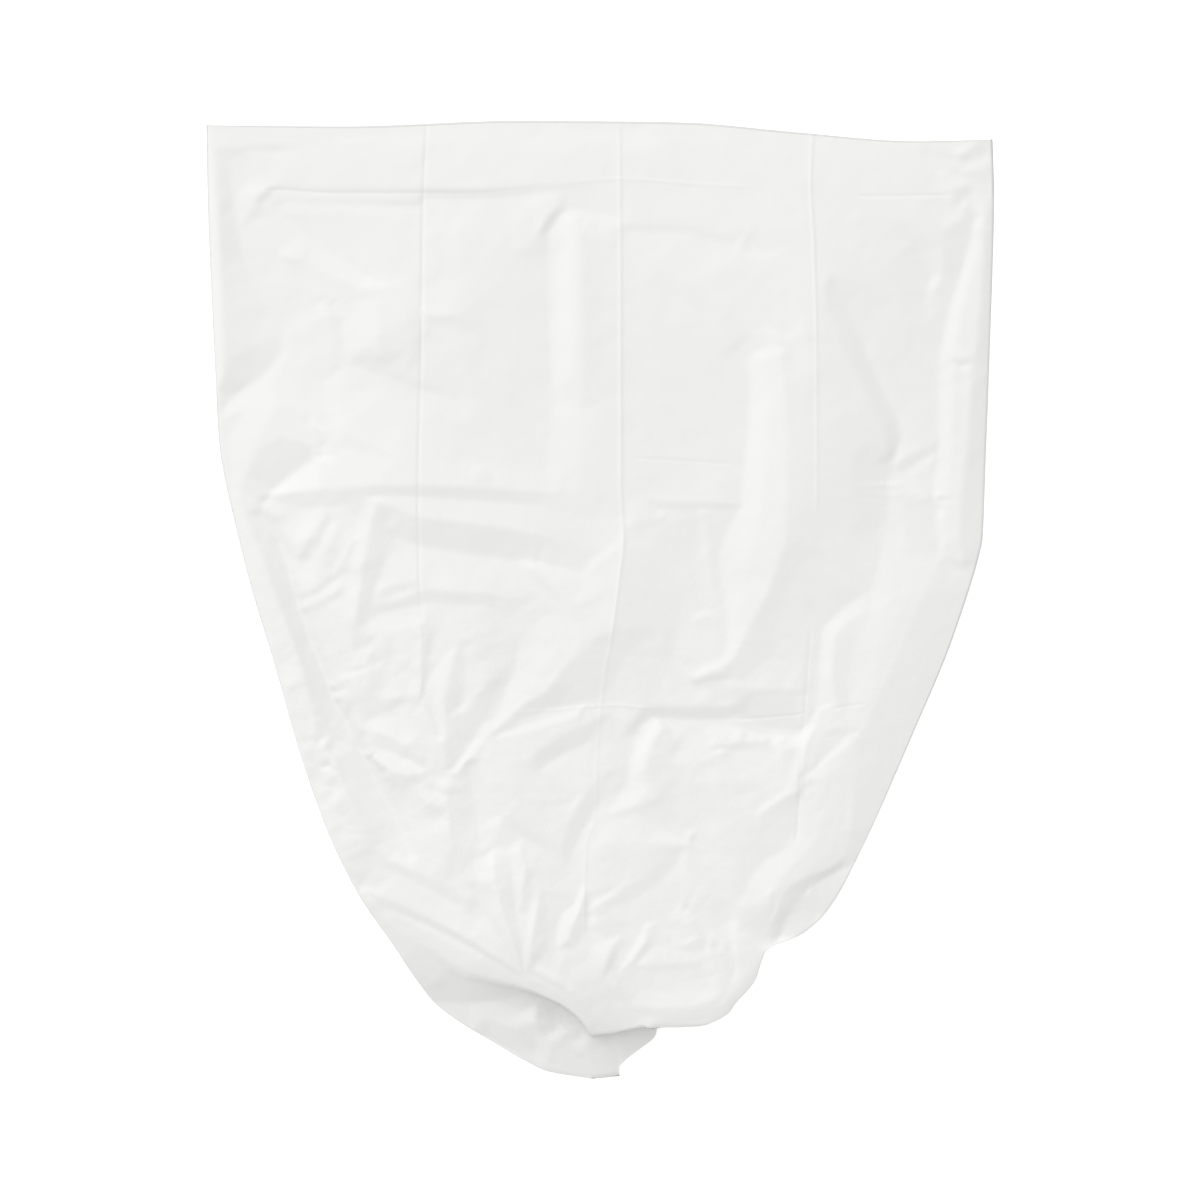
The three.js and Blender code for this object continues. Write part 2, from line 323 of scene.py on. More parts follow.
# %% Draw the folds of the left shoulder
LEFT_FOLDS = {
    "shoulder, upper edge": [
        (-250, 305, -.5), (-238, 292, -.7), (-225, 280, -.7), (-207, 268, -.3), (-190, 256, .1),
        (-172, 247, .9)],
    "shoulder, right edge": [(-172, 240, 2.4), (-171, 225, 3.6), (-171, 205, 4.4), (-170, 189, 3.8)],
    "shoulder, right of the edge": [(-150, 250, 1), (-148, 215, 3.6), (-146, 190, 3.2)],
    "bright spot fold": [(-247, 272, .2), (-243, 266, 1), (-232, 264, 1)],
    "bright spot fold, foot": [(-249, 264, -.2), (-241, 260, .3), (-229, 259, .7)],
    "flake 2": [(-186, 237, 2.4), (-178, 241, 2.6)],
    "flake 2, foot": [(-189, 233, 1.6), (-180, 233, 2.4)],
    "oval, left edge": [(-219, 224, .4), (-219, 205, .2), (-212, 190, .4)],
    "oval, top": [(-217, 226, .6), (-210, 230, 1.6), (-204, 233, 1.2)],
    "oval, right valley": [(-203, 226, .8), (-199, 212, .9), (-198, 200, 1)],
    "oval, middle": [(-210, 222, 1.4), (-206, 208, 1.4), (-204, 198, 1)],
    "foot of the shoulder": [
        (-205, 184, .2), (-190, 181, .6), (-175, 176, 1), (-160, 170, 1.4), (-142, 163, 1.4)],
    "ridge to the left crease": [(-185, 190, 2.6), (-170, 184, 2.4), (-155, 176, 2.2), (-142, 169, 2.2)],
    "field, left edge": [(-203, 178, 0), (-201, 165, .4), (-199, 150, .9), (-198, 130, 1.6)],
    "field, left of the edge": [(-213, 170, -.9), (-212, 150, -.6), (-207, 128, .2)],
    "field, upper bend": [(-172, 160, .9), (-150, 155, 1.4)],
    "field, lower edge": [
        (-255, 82, -.6), (-235, 84, 1), (-200, 86, 2.6), (-180, 88, 3.4), (-142, 88, 3.6), (-100, 87, 3.2),
        (-60, 84, 2.4), (-35, 83, 1.6), (20, 80, .6), (80, 77, .4), (106, 75, .3)],
    "field right of the crease, lower": [(-130, 112, 2.6), (-100, 104, 2.4), (-70, 104, 1.6), (-50, 100, 1)],
    "small rise": [(-103, 109, 2.2), (-92, 98, 3.2), (-86, 92, 3)],
    "small rise, foot": [(-92, 106, 2), (-84, 98, 2.2)],
    "outer patch, upper valley": [
        (-243, 222, -1.2), (-243, 206, -1.8), (-250, 187, -2.2), (-262, 172, -2.4), (-279, 162, -2.4),
        (-290, 150, -1.5)],
    "outer patch, inside": [(-236, 200, -1), (-246, 180, -1.4), (-262, 160, -1.4), (-275, 150, -1)],
    "outer patch, crest": [(-250, 150, .2), (-262, 128, .8), (-268, 110, .9), (-277, 90, .6), (-280, 82, .3)],
    "outer patch, left foot": [(-289, 120, -.4), (-286, 95, 0)],
    "outer patch, upper bend": [(-236, 150, -.6), (-230, 135, -.4)],
    "wedge, top": [(-250, 128, .4), (-235, 124, .2), (-222, 119, -.4), (-213, 116, -1)],
    "wedge, valley": [
        (-213, 112, -1.6), (-226, 106, -2), (-240, 95, -2.4), (-252, 84, -2.6), (-258, 78, -2.6)],
    "curl": [
        (-222, 145, -.4), (-220, 133, .5), (-213, 129, .9), (-208, 122, 1.3), (-209, 113, 1.1),
        (-219, 109, .4)],
    "curl, hollow": [(-225, 138, -.8), (-217, 124, -.5), (-214, 119, -.8)],
    "curl, far foot": [(-214, 137, -.5), (-205, 128, .4), (-201, 118, 1), (-206, 108, 1.4)],
    "dark hollow at the crease": [(-136, 222, 3.4), (-124, 214, 2.2), (-112, 215, 2.2), (-108, 220, 2.8)],
    "field right of the left crease": [(-110, 190, 2.4), (-95, 160, 1.8), (-80, 130, 1.4)],
    "level by the left crease": [(-139, 280, .4), (-139, 240, 1.4), (-138, 205, 2.8), (-138, 185, 2.4)],
    "level right of the left crease": [
        (-110, 285, .9), (-100, 250, 1.5), (-70, 285, 0), (-65, 245, .3), (-62, 190, .2)],
    "shoulder, inner step": [(-219, 225, .2), (-220, 210, .2), (-214, 195, .4), (-205, 183, .6)],
    "shoulder, notch": [(-213, 232, .8), (-206, 228, .2), (-202, 222, .6)],
    "shoulder, slope": [(-228, 262, .6), (-205, 250, 1.4), (-188, 243, 2)],
}
print(len(LEFT_FOLDS), "folds on the left shoulder")

# %% Draw the folds of the middle
MIDDLE_FOLDS = {
    "first valley": [
        (-252, 78, -1.4), (-236, 71, -.6), (-205, 72, .9), (-195, 74, 1.5), (-180, 79, 2), (-160, 80.5, 2.1),
        (-140, 80, 2.1), (-100, 77, 1.7), (-70, 75, 1.3), (-45, 73, 1)],
    "first valley, faint foot": [(-35, 68, .9), (15, 63, .3)],
    "thin line before the column": [(45, 75, .5), (80, 74.5, .4), (107, 74, .3)],
    "thin line before the column, foot": [(45, 70, -.1), (80, 70, -.4), (108, 71, -.4)],
    "ridge after the first valley": [
        (-172, 76, 3), (-158, 71, 2.6), (-140, 64, 2.6), (-100, 59, 2.8), (-60, 53, 2.2), (-40, 48, 1.6),
        (-20, 44, 1)],
    "second valley": [
        (-160, 50, -.2), (-140, 42, -.6), (-110, 37, -.9), (-85, 33, -1), (-57, 30, -1), (-30, 25, -.6),
        (-12, 20, -.3)],
    "ridge over the third valley": [
        (-142, 11.5, 1.2), (-120, 6.5, 1.4), (-100, 6, 1.3), (-86, 5, 1.1), (-77, 2, .7)],
    "third valley": [
        (-168, -9, -.6), (-150, -5.5, -.2), (-130, -1.5, 0), (-100, -4, 0), (-84, -5, -.2), (-74, -12, -.6),
        (-64, -19, -.8), (-54, -22, -.8)],
    "streak in the third valley": [(-167, -4, .1), (-150, 2.5, 1), (-137, 6.5, 1.1)],
    "upper lip of the third valley": [(-175, 1, .2), (-160, 4, .3), (-148, 8, .6)],
    "upper lip, top": [(-170, 8, .8), (-156, 12, 1.1), (-142, 15, 1.4)],
    "upright ridge, crest": [
        (-172, 76, 3), (-177, 55, 2.6), (-182, 30, 2.4), (-186, 5, 2.2), (-189, -20, 1.8)],
    "upright ridge, right foot": [
        (-165, 66, 1.5), (-160, 50, .5), (-165, 30, .1), (-173, 8, 0), (-179, -18, .1)],
    "upright ridge, left foot": [(-183, 70, 1.4), (-188, 48, 1), (-193, 25, .8), (-197, 0, .6)],
    "bright triangle, lip": [(-12, 20, .32), (-3, 28, 1.28), (6, 34, 1.68), (15, 41, 1.92)],
    "bright triangle, long edge": [
        (-57, 29, .32), (-46, 20, 1.36), (-34, 9, 1.84), (-22, -4, 2.08), (-12, -17, 2.32), (-5, -30, 2.72)],
    "bright triangle, under the long edge": [
        (-56, 22, -.16), (-47, 12, .16), (-36, 0, .56), (-26, -12, .96), (-22, -20, 1.44)],
    "bright triangle, right edge": [(17, 42, 2.08), (15, 15, 2.32), (9, -25, 2.56)],
    "bright triangle, inside": [(0, 18, 1.44), (2, -6, 1.92)],
    "fall right of the triangle": [(40, 46, .3), (44, 20, 0), (46, -10, -.4), (46, -36, -.8)],
    "pale lip by the centre crease": [(19, 54, 1), (30, 61, 1.1), (48, 64, .6)],
    "pale lip, foot": [(24, 50, .8), (34, 55, .6), (50, 58, .2)],
    "dark tip": [(71, 68, -.1), (76, 60, -.9), (77, 48, -1.2), (78, 25, -1.5), (78, 5, -1.6)],
    "right of the dark tip": [(80, 68, .2), (83, 48, -.8), (85, 25, -1.2), (86, 5, -1.2)],
    "hollow left of the column": [(60, 40, -.7), (62, 10, -1.2), (60, -20, -1.7), (56, -45, -2)],
    "small pale curve": [(69, -20, -1.6), (76, -13, -.9), (84, -12, -.8), (90, -24, -.9)],
    "small pale curve, over": [(70, -14, -1.6), (77, -8, -1.7), (88, -8, -1.4)],
    "column, left foot": [
        (113, 187, -1), (116, 168, -1.1), (116, 150, -1.2), (114, 120, -1), (111, 95, -.6), (109, 74, -.4),
        (101, 58, -.9), (92, 40, -1.5), (93, 22, -1.6), (96, 0, -1.6), (98, -20, -1.4), (98, -36, -1)],
    "column, shoulder": [
        (127, 186, 1.8), (130, 160, 2.1), (129, 120, 2.2), (127, 90, 2.4), (122, 60, 2.2), (116, 35, 1.6),
        (112, 12, .9), (107, -12, .4)],
    "column, cap edge": [(113, 188, -.9), (122, 192, .2), (132, 195, 1.4), (139, 195, 2.2)],
    "column, over the cap": [(108, 196, -.8), (118, 205, .6), (128, 209, 1.3), (137, 204, 2)],
    "column, cap point": [(138, 204, 2), (150, 196, 2.2), (163, 184, 2.8)],
    "column, crest": [
        (140, 190, 3.2), (142, 160, 3.6), (143, 120, 3.9), (144, 80, 4.1), (143, 45, 3.9), (137, 26, 3.2),
        (128, 3, 2.4), (118, -15, 1.7), (108, -34, .9), (101, -46, .6)],
    "right of the column": [(158, 150, 3.4), (158, 110, 3.6), (158, 70, 3.4)],
    "right of the column, low": [(150, 25, 1.6), (142, 0, .6), (135, -25, -.2), (130, -45, -.8)],
    "column, foot curl": [(101, -46, .6), (94, -52, .5), (84, -55, .3), (72, -61, -.6)],
    "column, foot curl, over": [(96, -46, -.3), (84, -49, -.9), (73, -55, -1.4)],
    "column, foot curl, line": [(94, -57, .2), (82, -58.5, 0), (73, -62, -.8)],
    "column, foot curl, under": [(93, -61, -1.1), (80, -62, -1.2), (71, -66, -1.7)],
    "pale leaf under the curl": [(76, -68, -1.8), (84, -75, -1), (92, -81, -1.4)],
    "pale leaf, upper side": [(80, -65, -1.6), (90, -73, -1.6), (98, -80, -1.8)],
    "shade under the curl": [
        (104, -60, -.8), (112, -66, -.7), (128, -72, -.9), (140, -70, -.8), (152, -72, -.9)],
    "column, cap point, foot": [(142, 196, 2.2), (152, 186, 2.4), (163, 176, 3)],
    "bright triangle, upper edge": [(-57, 29, .24), (-30, 25.5, .4), (-12, 20, .32)],
    "bright triangle, over the lip": [(-12, 24, .08), (-2, 34, .8), (12, 46, 1.2)],
    "bright triangle, under, left": [(-55, 14, -.24), (-50, 2, 0), (-44, -6, .16)],
    "second long edge": [(-30, -3, 1.12), (-22, -14, 1.76), (-14, -28, 2.24)],
}
print(len(MIDDLE_FOLDS), "folds in the middle")

# %% Draw the folds of the right side
RIGHT_FOLDS = {
    "long valley, lip": [
        (172, 240, 1.8), (178, 222, 1.6), (186, 200, 1.4), (196, 176, 1.2), (208, 154, 1), (218, 135, .6),
        (222, 115, -.2)],
    "long valley": [
        (180, 246, .8), (190, 228, -.4), (200, 204, -1.2), (209, 182, -1.8), (219, 160, -2.2),
        (229, 141, -2.4), (232, 126, -2.4), (226, 108, -2.4), (222, 95, -2.2), (222, 70, -1.6)],
    "right of the long valley": [(205, 215, -.8), (216, 185, -1.4), (227, 160, -1.8), (238, 140, -1.6)],
    "upper point of the valley": [(180, 250, 1.4), (183, 240, .4), (188, 237, .4)],
    "small triangle": [(170, 163, 2.6), (181, 151, 2.4), (190, 141, 2.4)],
    "small triangle, under": [(195, 160, 1.3), (192, 150, 1.7), (190, 141, 2.3)],
    "small triangle, tail": [(191, 138, 2), (198, 132, 1.5), (206, 122, 1)],
    "basin, left": [(172, 130, 3.2), (172, 95, 3), (170, 68, 2.4), (168, 40, 1.2), (166, 15, 0)],
    "basin, middle": [(195, 110, 1.9), (196, 82, 1.3), (194, 62, .6), (190, 35, 0), (186, 12, -.6)],
    "basin, right": [(222, 88, -1.2), (222, 62, -1.5), (218, 45, -1.6), (214, 25, -1.6), (210, 8, -1.6)],
    "basin, pale rise": [(232, 82, -.6), (236, 55, -.5), (233, 30, -.4), (228, 8, -.2)],
    "basin, small line": [(212, 51, -1.5), (222, 52, -1.3), (229, 53, -1)],
    "dark pucker": [(226, 97, -2.4), (238, 101, -2.2), (247, 108, -1.8), (258, 114, -1)],
    "dark pucker, upper lip": [(232, 108, -1.4), (243, 114, -1), (256, 119, -.4)],
    "dark pucker, lower lip": [(236, 92, -1.8), (250, 101, -1.2), (260, 109, -.4)],
    "roll, left foot": [
        (289, 292, -.2), (284, 268, -.8), (277, 245, -1), (270, 222, -1.1), (264, 195, -1.2),
        (262, 180, -1.2), (262, 140, -1.2), (260, 105, -1), (257, 80, -.8), (259, 60, -.6), (262, 38, -.4)],
    "roll, shoulder": [
        (292, 275, .8), (286, 250, .9), (279, 222, 1), (273, 190, 1.2), (272, 140, 1.2), (270, 100, 1.2),
        (266, 75, 1.2), (268, 45, 1)],
    "roll, crest": [
        (298, 300, 1.2), (297, 270, 1.6), (295, 235, 2), (292, 200, 2.4), (287, 160, 2.4), (284, 120, 2.4),
        (279, 80, 2.4), (277, 50, 2.2), (280, 30, 1.6)],
    "roll, kink": [(266, 178, -.4), (276, 178, 1.4), (284, 176, 2), (296, 172, 1.6)],
    "roll, kink, under": [(283, 186, 2.6), (290, 182, 2), (296, 174, 1.6)],
    "roll, kink, second line": [(272, 184, .6), (281, 181, .6)],
    "roll, small kink": [(254, 79, -.2), (260, 80, .6), (266, 77, .5)],
    "roll, small kink, foot": [(256, 72, -.6), (262, 70, -.4)],
    "roll, crinkle": [(262, 62, .2), (266, 52, .6), (264, 40, .4)],
    "roll, end": [(265, 33, .1), (273, 31, .6), (281, 27, .6)],
    "roll, end, under": [(268, 28, -.3), (276, 25, -.2), (284, 22, 0)],
    "corner patch, left": [(225, 262, 0), (228, 240, -.1), (236, 215, -.4)],
    "corner patch, valley": [
        (243, 282, 0), (246, 270, -.9), (252, 260, -1.4), (258, 250, -1.6), (252, 240, -1.6),
        (250, 230, -1.4), (255, 215, -1)],
    "corner facet, crest": [(252, 284, .6), (262, 284, .6), (266, 262, .3), (264, 250, -.4)],
    "corner facet, under": [(252, 240, -1), (258, 232, -.8), (263, 226, -.8)],
    "corner crinkle 1": [(272, 350, .2), (280, 346, 1.3), (292, 349, .4)],
    "corner crinkle 1, foot": [(274, 342, -.2), (282, 340, .3), (292, 342, .2)],
    "corner crinkle 2": [(293, 355, .9), (297, 346, -.4), (302, 336, .2)],
    "corner crinkle 3": [(274, 318, .5), (282, 311, -.3), (290, 318, .5)],
    "corner crinkle 4": [(275, 303, .2), (282, 297, 1), (287, 288, .2)],
    "corner crinkle 5": [(284, 303, .8), (291, 296, .2), (292, 286, 1), (297, 275, 1.4)],
    "corner crinkle 6": [(279, 327, 0), (284, 322, .7), (290, 325, 0)],
    "flank, first foot": [
        (204, 5, -1.4), (192, -3, -1.9), (181, -12, -1.9), (172, -21, -1.7), (169, -50, -1.5),
        (169, -82, -1.3)],
    "flank, first crest": [
        (207, -8, -.8), (190, -16, -.6), (180, -30, .1), (178, -60, .4), (182, -80, .5), (187, -92, .6)],
    "flank, dip": [(205, -18, -.6), (194, -36, -.2), (190, -60, -.3), (192, -80, -.2)],
    "flank, second foot": [(224, -2, 0), (212, -25, .1), (203, -52, .2), (198, -78, .4)],
    "flank, second crest": [
        (256, 20, .6), (246, -5, 1), (238, -22, 1.2), (226, -50, 1.4), (214, -76, 1.3), (203, -100, 1.2),
        (198, -120, 1.2), (195, -145, 1.2), (193, -168, 1.4), (193, -178, 1.6)],
    "flank, inner band": [(238, 20, -.1), (228, -10, .5), (218, -40, .8), (208, -72, .9), (200, -96, .9)],
    "strip beside the right crease": [(166, -10, -1), (166, -40, -1.4), (166, -75, -1.6)],
    "level by the right crease": [(160, 20, .6), (157, -15, -.6), (154, -45, -1)],
    "level at the top": [(190, 330, 0), (215, 280, .2), (140, 320, .3), (100, 260, .8)],
}
print(len(RIGHT_FOLDS), "folds on the right side")

# %% Draw the folds around the two hubs
HUB_FOLDS = {
    "flank line": [
        (-279, 80, .9), (-275, 66, 1.1), (-267, 46, 1.3), (-259, 27, 1.4), (-252, 5, 1.4), (-244, -14, 1.4),
        (-236, -36, 1.3), (-229, -58, 1.2), (-223, -80, 1.2), (-219, -103, 1.2)],
    "flank valley": [
        (-262, 66, -2), (-252, 54, -2.6), (-243, 32, -3), (-237, 10, -3.2), (-231, -8, -3.4),
        (-224, -30, -3.6), (-214, -54, -3.8), (-206, -76, -4), (-196, -93, -4.2), (-187, -110, -4.3),
        (-180, -126, -4.4), (-171, -143, -4.4), (-160, -161, -4.2), (-152, -178, -3.6), (-148, -195, -2.5)],
    "flank valley, far lip": [
        (-240, 64, -.6), (-238, 42, -.9), (-235, 24, -.8), (-229, 3, -.8), (-223, -12, -1), (-215, -34, -1.2),
        (-206, -54, -1.2), (-200, -72, -1.2)],
    "flank, pale patch": [(-228, -121, -.2), (-220, -114, .4), (-214, -108, .6)],
    "flank low line": [
        (-213, -110, 2), (-204, -130, 2.1), (-197, -146, 2.1), (-189, -162, 1.8), (-181, -177, 1),
        (-174, -191, -.6)],
    "outer flank crinkle 1": [(-244, -62, .6), (-238, -66, 1.3), (-230, -68, 1)],
    "outer flank crinkle 2": [(-240, -86, .4), (-230, -85, 1.2), (-220, -84, 1)],
    "crinkle 1": [(-232, 36, .1), (-224, 48, 1.1), (-216, 60, 1.3)],
    "crinkle 2": [(-225, 33, -.5), (-216, 44, .1), (-209, 58, .5)],
    "crinkle 3": [(-215, 32, .6), (-208, 44, 1.1), (-202, 60, 1.4)],
    "crinkle 4": [(-206, 22, .2), (-200, 36, .4), (-190, 49, .9)],
    "crinkle 5": [(-201, 25, .9), (-196, 37, 1.2), (-188, 48, 1.8)],
    "crinkle 6": [(-229, 1, -1), (-220, 4, -.3), (-208, 12, .1), (-199, 20, .4)],
    "crinkle 7": [(-230, 5, -.3), (-218, 11, .6), (-208, 19, .9), (-200, 25, .9)],
    "crinkle 8": [(-228, -6, -.4), (-214, 1, .7), (-202, 8, 1)],
    "crinkle 9": [(-224, -10, -1), (-212, -4, .1), (-200, 3, .4)],
    "crinkle 10": [(-206, -66, -1.2), (-196, -61, .4), (-188, -59, .9)],
    "crinkle 11": [(-203, -59, -1), (-194, -56, -.2), (-187, -54, .2)],
    "crinkle 12": [(-203, -76, -1.5), (-193, -75, -.3), (-182, -76, .1)],
    "crinkle 13": [(-198, -71, -.8), (-190, -66, .6), (-182, -66, .9)],
    "crinkle 14": [(-191, -36, 1.2), (-185, -38, .2), (-176, -40, .5)],
    "crinkle 15": [(-190, -44, 1.1), (-187, -52, 1.1), (-187, -60, 1)],
    "crinkle 16": [(-172, -30, .4), (-166, -44, 1.1), (-158, -58, 1), (-153, -70, .6)],
    "crinkle 17": [(-175, -36, .3), (-170, -50, .2), (-163, -64, .1), (-157, -76, .1)],
    "crinkle 18": [(-162, -28, .9), (-158, -42, .5), (-153, -56, .4), (-148, -68, .4)],
    "crinkle 19": [(-152, -52, .6), (-144, -42, .9), (-139, -30, 1)],
    "crinkle 20": [(-154, -72, .4), (-147, -80, -.2), (-139, -80, .2)],
    "long bright line": [
        (-137, -18, 1.4), (-137, -40, 1.5), (-137.5, -60, 1.4), (-138, -74, 1.2), (-132, -88, 1.1),
        (-127, -103, 1), (-123, -120, .7), (-120, -136, .2)],
    "left of the bright line": [
        (-147, -20, .8), (-145, -45, .6), (-146, -66, .4), (-147, -86, .2), (-140, -104, .4),
        (-132, -120, .3)],
    "right of the bright line": [
        (-131, -20, .5), (-132, -40, .4), (-133, -55, .3), (-128, -86, .5), (-123, -104, .3)],
    "shade over the leaf": [(-135, -12, .6), (-126, -20, 0), (-130, -40, -.3)],
    "leaf, left foot": [(-110, -34, .5), (-119, -42, -.1), (-128, -53, -.3), (-135, -66, 0), (-137, -76, .5)],
    "leaf, crest": [
        (-109, -33, .61), (-115, -50, 1.21), (-119, -75, 1.62), (-120, -100, 1.62), (-119, -125, 1.01)],
    "leaf, valley": [(-104, -36, .16), (-103, -60, -.32), (-107, -82, -.65)],
    "leaf, right crest": [(-106, -38, .37), (-95, -48, .84), (-83, -60, 1.11)],
    "leaf, right lower edge": [(-83, -60, .94), (-92, -71, .6), (-103, -84, 0)],
    "dark gully": [
        (-71, -50, -.4), (-78, -66, -.8), (-86, -86, -1.2), (-94, -102, -1.5), (-102, -114, -1.2),
        (-111, -129, -.7)],
    "stripe over the leaf": [(-97, -10, .6), (-95, -28, .9), (-94, -45, .6)],
    "wedge, left foot": [
        (-44, -12, -.4), (-55, -26, -.8), (-62, -33, -1), (-66, -52, -1.2), (-74, -74, -1.4),
        (-82, -94, -1.4)],
    "wedge, crest": [
        (-3, -33, 2.2), (-16, -40, 2.2), (-30, -55, 2), (-41, -71, 1.6), (-57, -79, 1.2), (-70, -91, .6),
        (-89, -107, -.6)],
    "fall right of the wedge": [
        (10, -64, -1.1), (0, -76, -1.5), (-20, -80, -1.3), (-40, -84, -.9), (-62, -93, -.7)],
    "second streak, crest": [(-86, -108, -.5), (-60, -102, .3), (-40, -97, .4), (-19, -90, .4)],
    "second streak, foot": [(-78, -103, -.8), (-60, -97, -.6), (-40, -91, -.6), (-20, -86, -.7)],
    "second streak, lower edge": [(-17, -98, .3), (-30, -105, .5), (-48, -116, .9), (-52, -122, .8)],
    "hollow under the streaks": [(-8, -108, -1.6), (-28, -118, -1.5), (-42, -127, -1.2)],
    "hollow, floor": [(20, -105, -2.16), (0, -115, -1.62), (-10, -125, -.9)],
    "ray down from the hub": [(-93, -122, -.4), (-85, -140, .5), (-72, -168, .6)],
    "ray, left foot": [(-95, -126, -1.2), (-90, -142, -1.3), (-80, -165, -.9)],
    "pale block, inner": [(-66, -125, .5), (-62, -150, .8)],
    "band left of the rays": [(-101, -128, -1.2), (-98, -150, -1.8), (-95, -172, -1.6), (-91, -186, -1)],
    "band, left edge": [(-118, -146, 1), (-117, -168, 1.1), (-114, -188, .9)],
    "link between the hubs": [(-92, -112, -.3), (-103, -124, .6), (-115, -137, .5)],
    "left leaf, gully top": [(-196, -84, -1.6), (-186, -80, -.4), (-172, -77, .2), (-157, -77, .4)],
    "left leaf, gully": [(-186, -96, -1.28), (-172, -90, -.96), (-158, -84, -.56)],
    "left leaf, crest": [
        (-184, -100, -1.2), (-172, -101, .24), (-160, -106, .96), (-150, -111, 1.2), (-138, -121, 1.08)],
    "left leaf, right side": [(-157, -83, -.8), (-154, -96, 0), (-151, -108, .7)],
    "leaf gully": [
        (-178, -112, -1.2), (-166, -116, -.8), (-152, -121, -.4), (-140, -127, -.1), (-126, -136, -.1)],
    "lower leaf, upper line": [(-176, -114, -1), (-162, -120, 0), (-148, -126, .2)],
    "lower leaf, crest": [
        (-178, -120, -1.32), (-168, -127, .44), (-158, -133, 1.1), (-147, -135, 1.21), (-135, -131, .77)],
    "under the lower leaf": [(-164, -137, -.4), (-152, -142, 0), (-138, -141, 0), (-126, -142, 0)],
    "hub crinkle 1": [(-134, -140, .3), (-126, -147, -.4), (-118, -150, .1)],
    "hub crinkle 2": [(-140, -150, .2), (-130, -156, .7), (-119, -164, .2)],
    "hub crinkle 3": [(-136, -158, 0), (-126, -164, -.2), (-117, -170, 0)],
    "outer flank crinkle 3": [(-224, -124, -.3), (-215, -130, .2), (-210, -128, .1)],
    "outer flank crinkle 4": [(-218, -140, -.2), (-211, -146, .3), (-205, -143, .1)],
    "outer flank crinkle 5": [(-213, -158, -.2), (-206, -160, .35), (-200, -166, 0)],
    "outer flank crinkle 6": [(-206, -174, .2), (-200, -178, -.15), (-196, -172, .25)],
    "flank bench": [
        (-262, 50, -.3), (-252, 26, -.5), (-244, 2, -.6), (-235, -24, -.8), (-224, -54, -1),
        (-212, -86, -1.2), (-204, -108, -1.6)],
    "flank, upper end": [(-266, 76, -.4), (-258, 66, -1.4)],
    "right of the low flank": [
        (-176, -122, -3), (-164, -143, -2.6), (-151, -162, -2.2), (-144, -180, -1.6), (-138, -196, -1)],
}
print(len(HUB_FOLDS), "folds around the hubs")

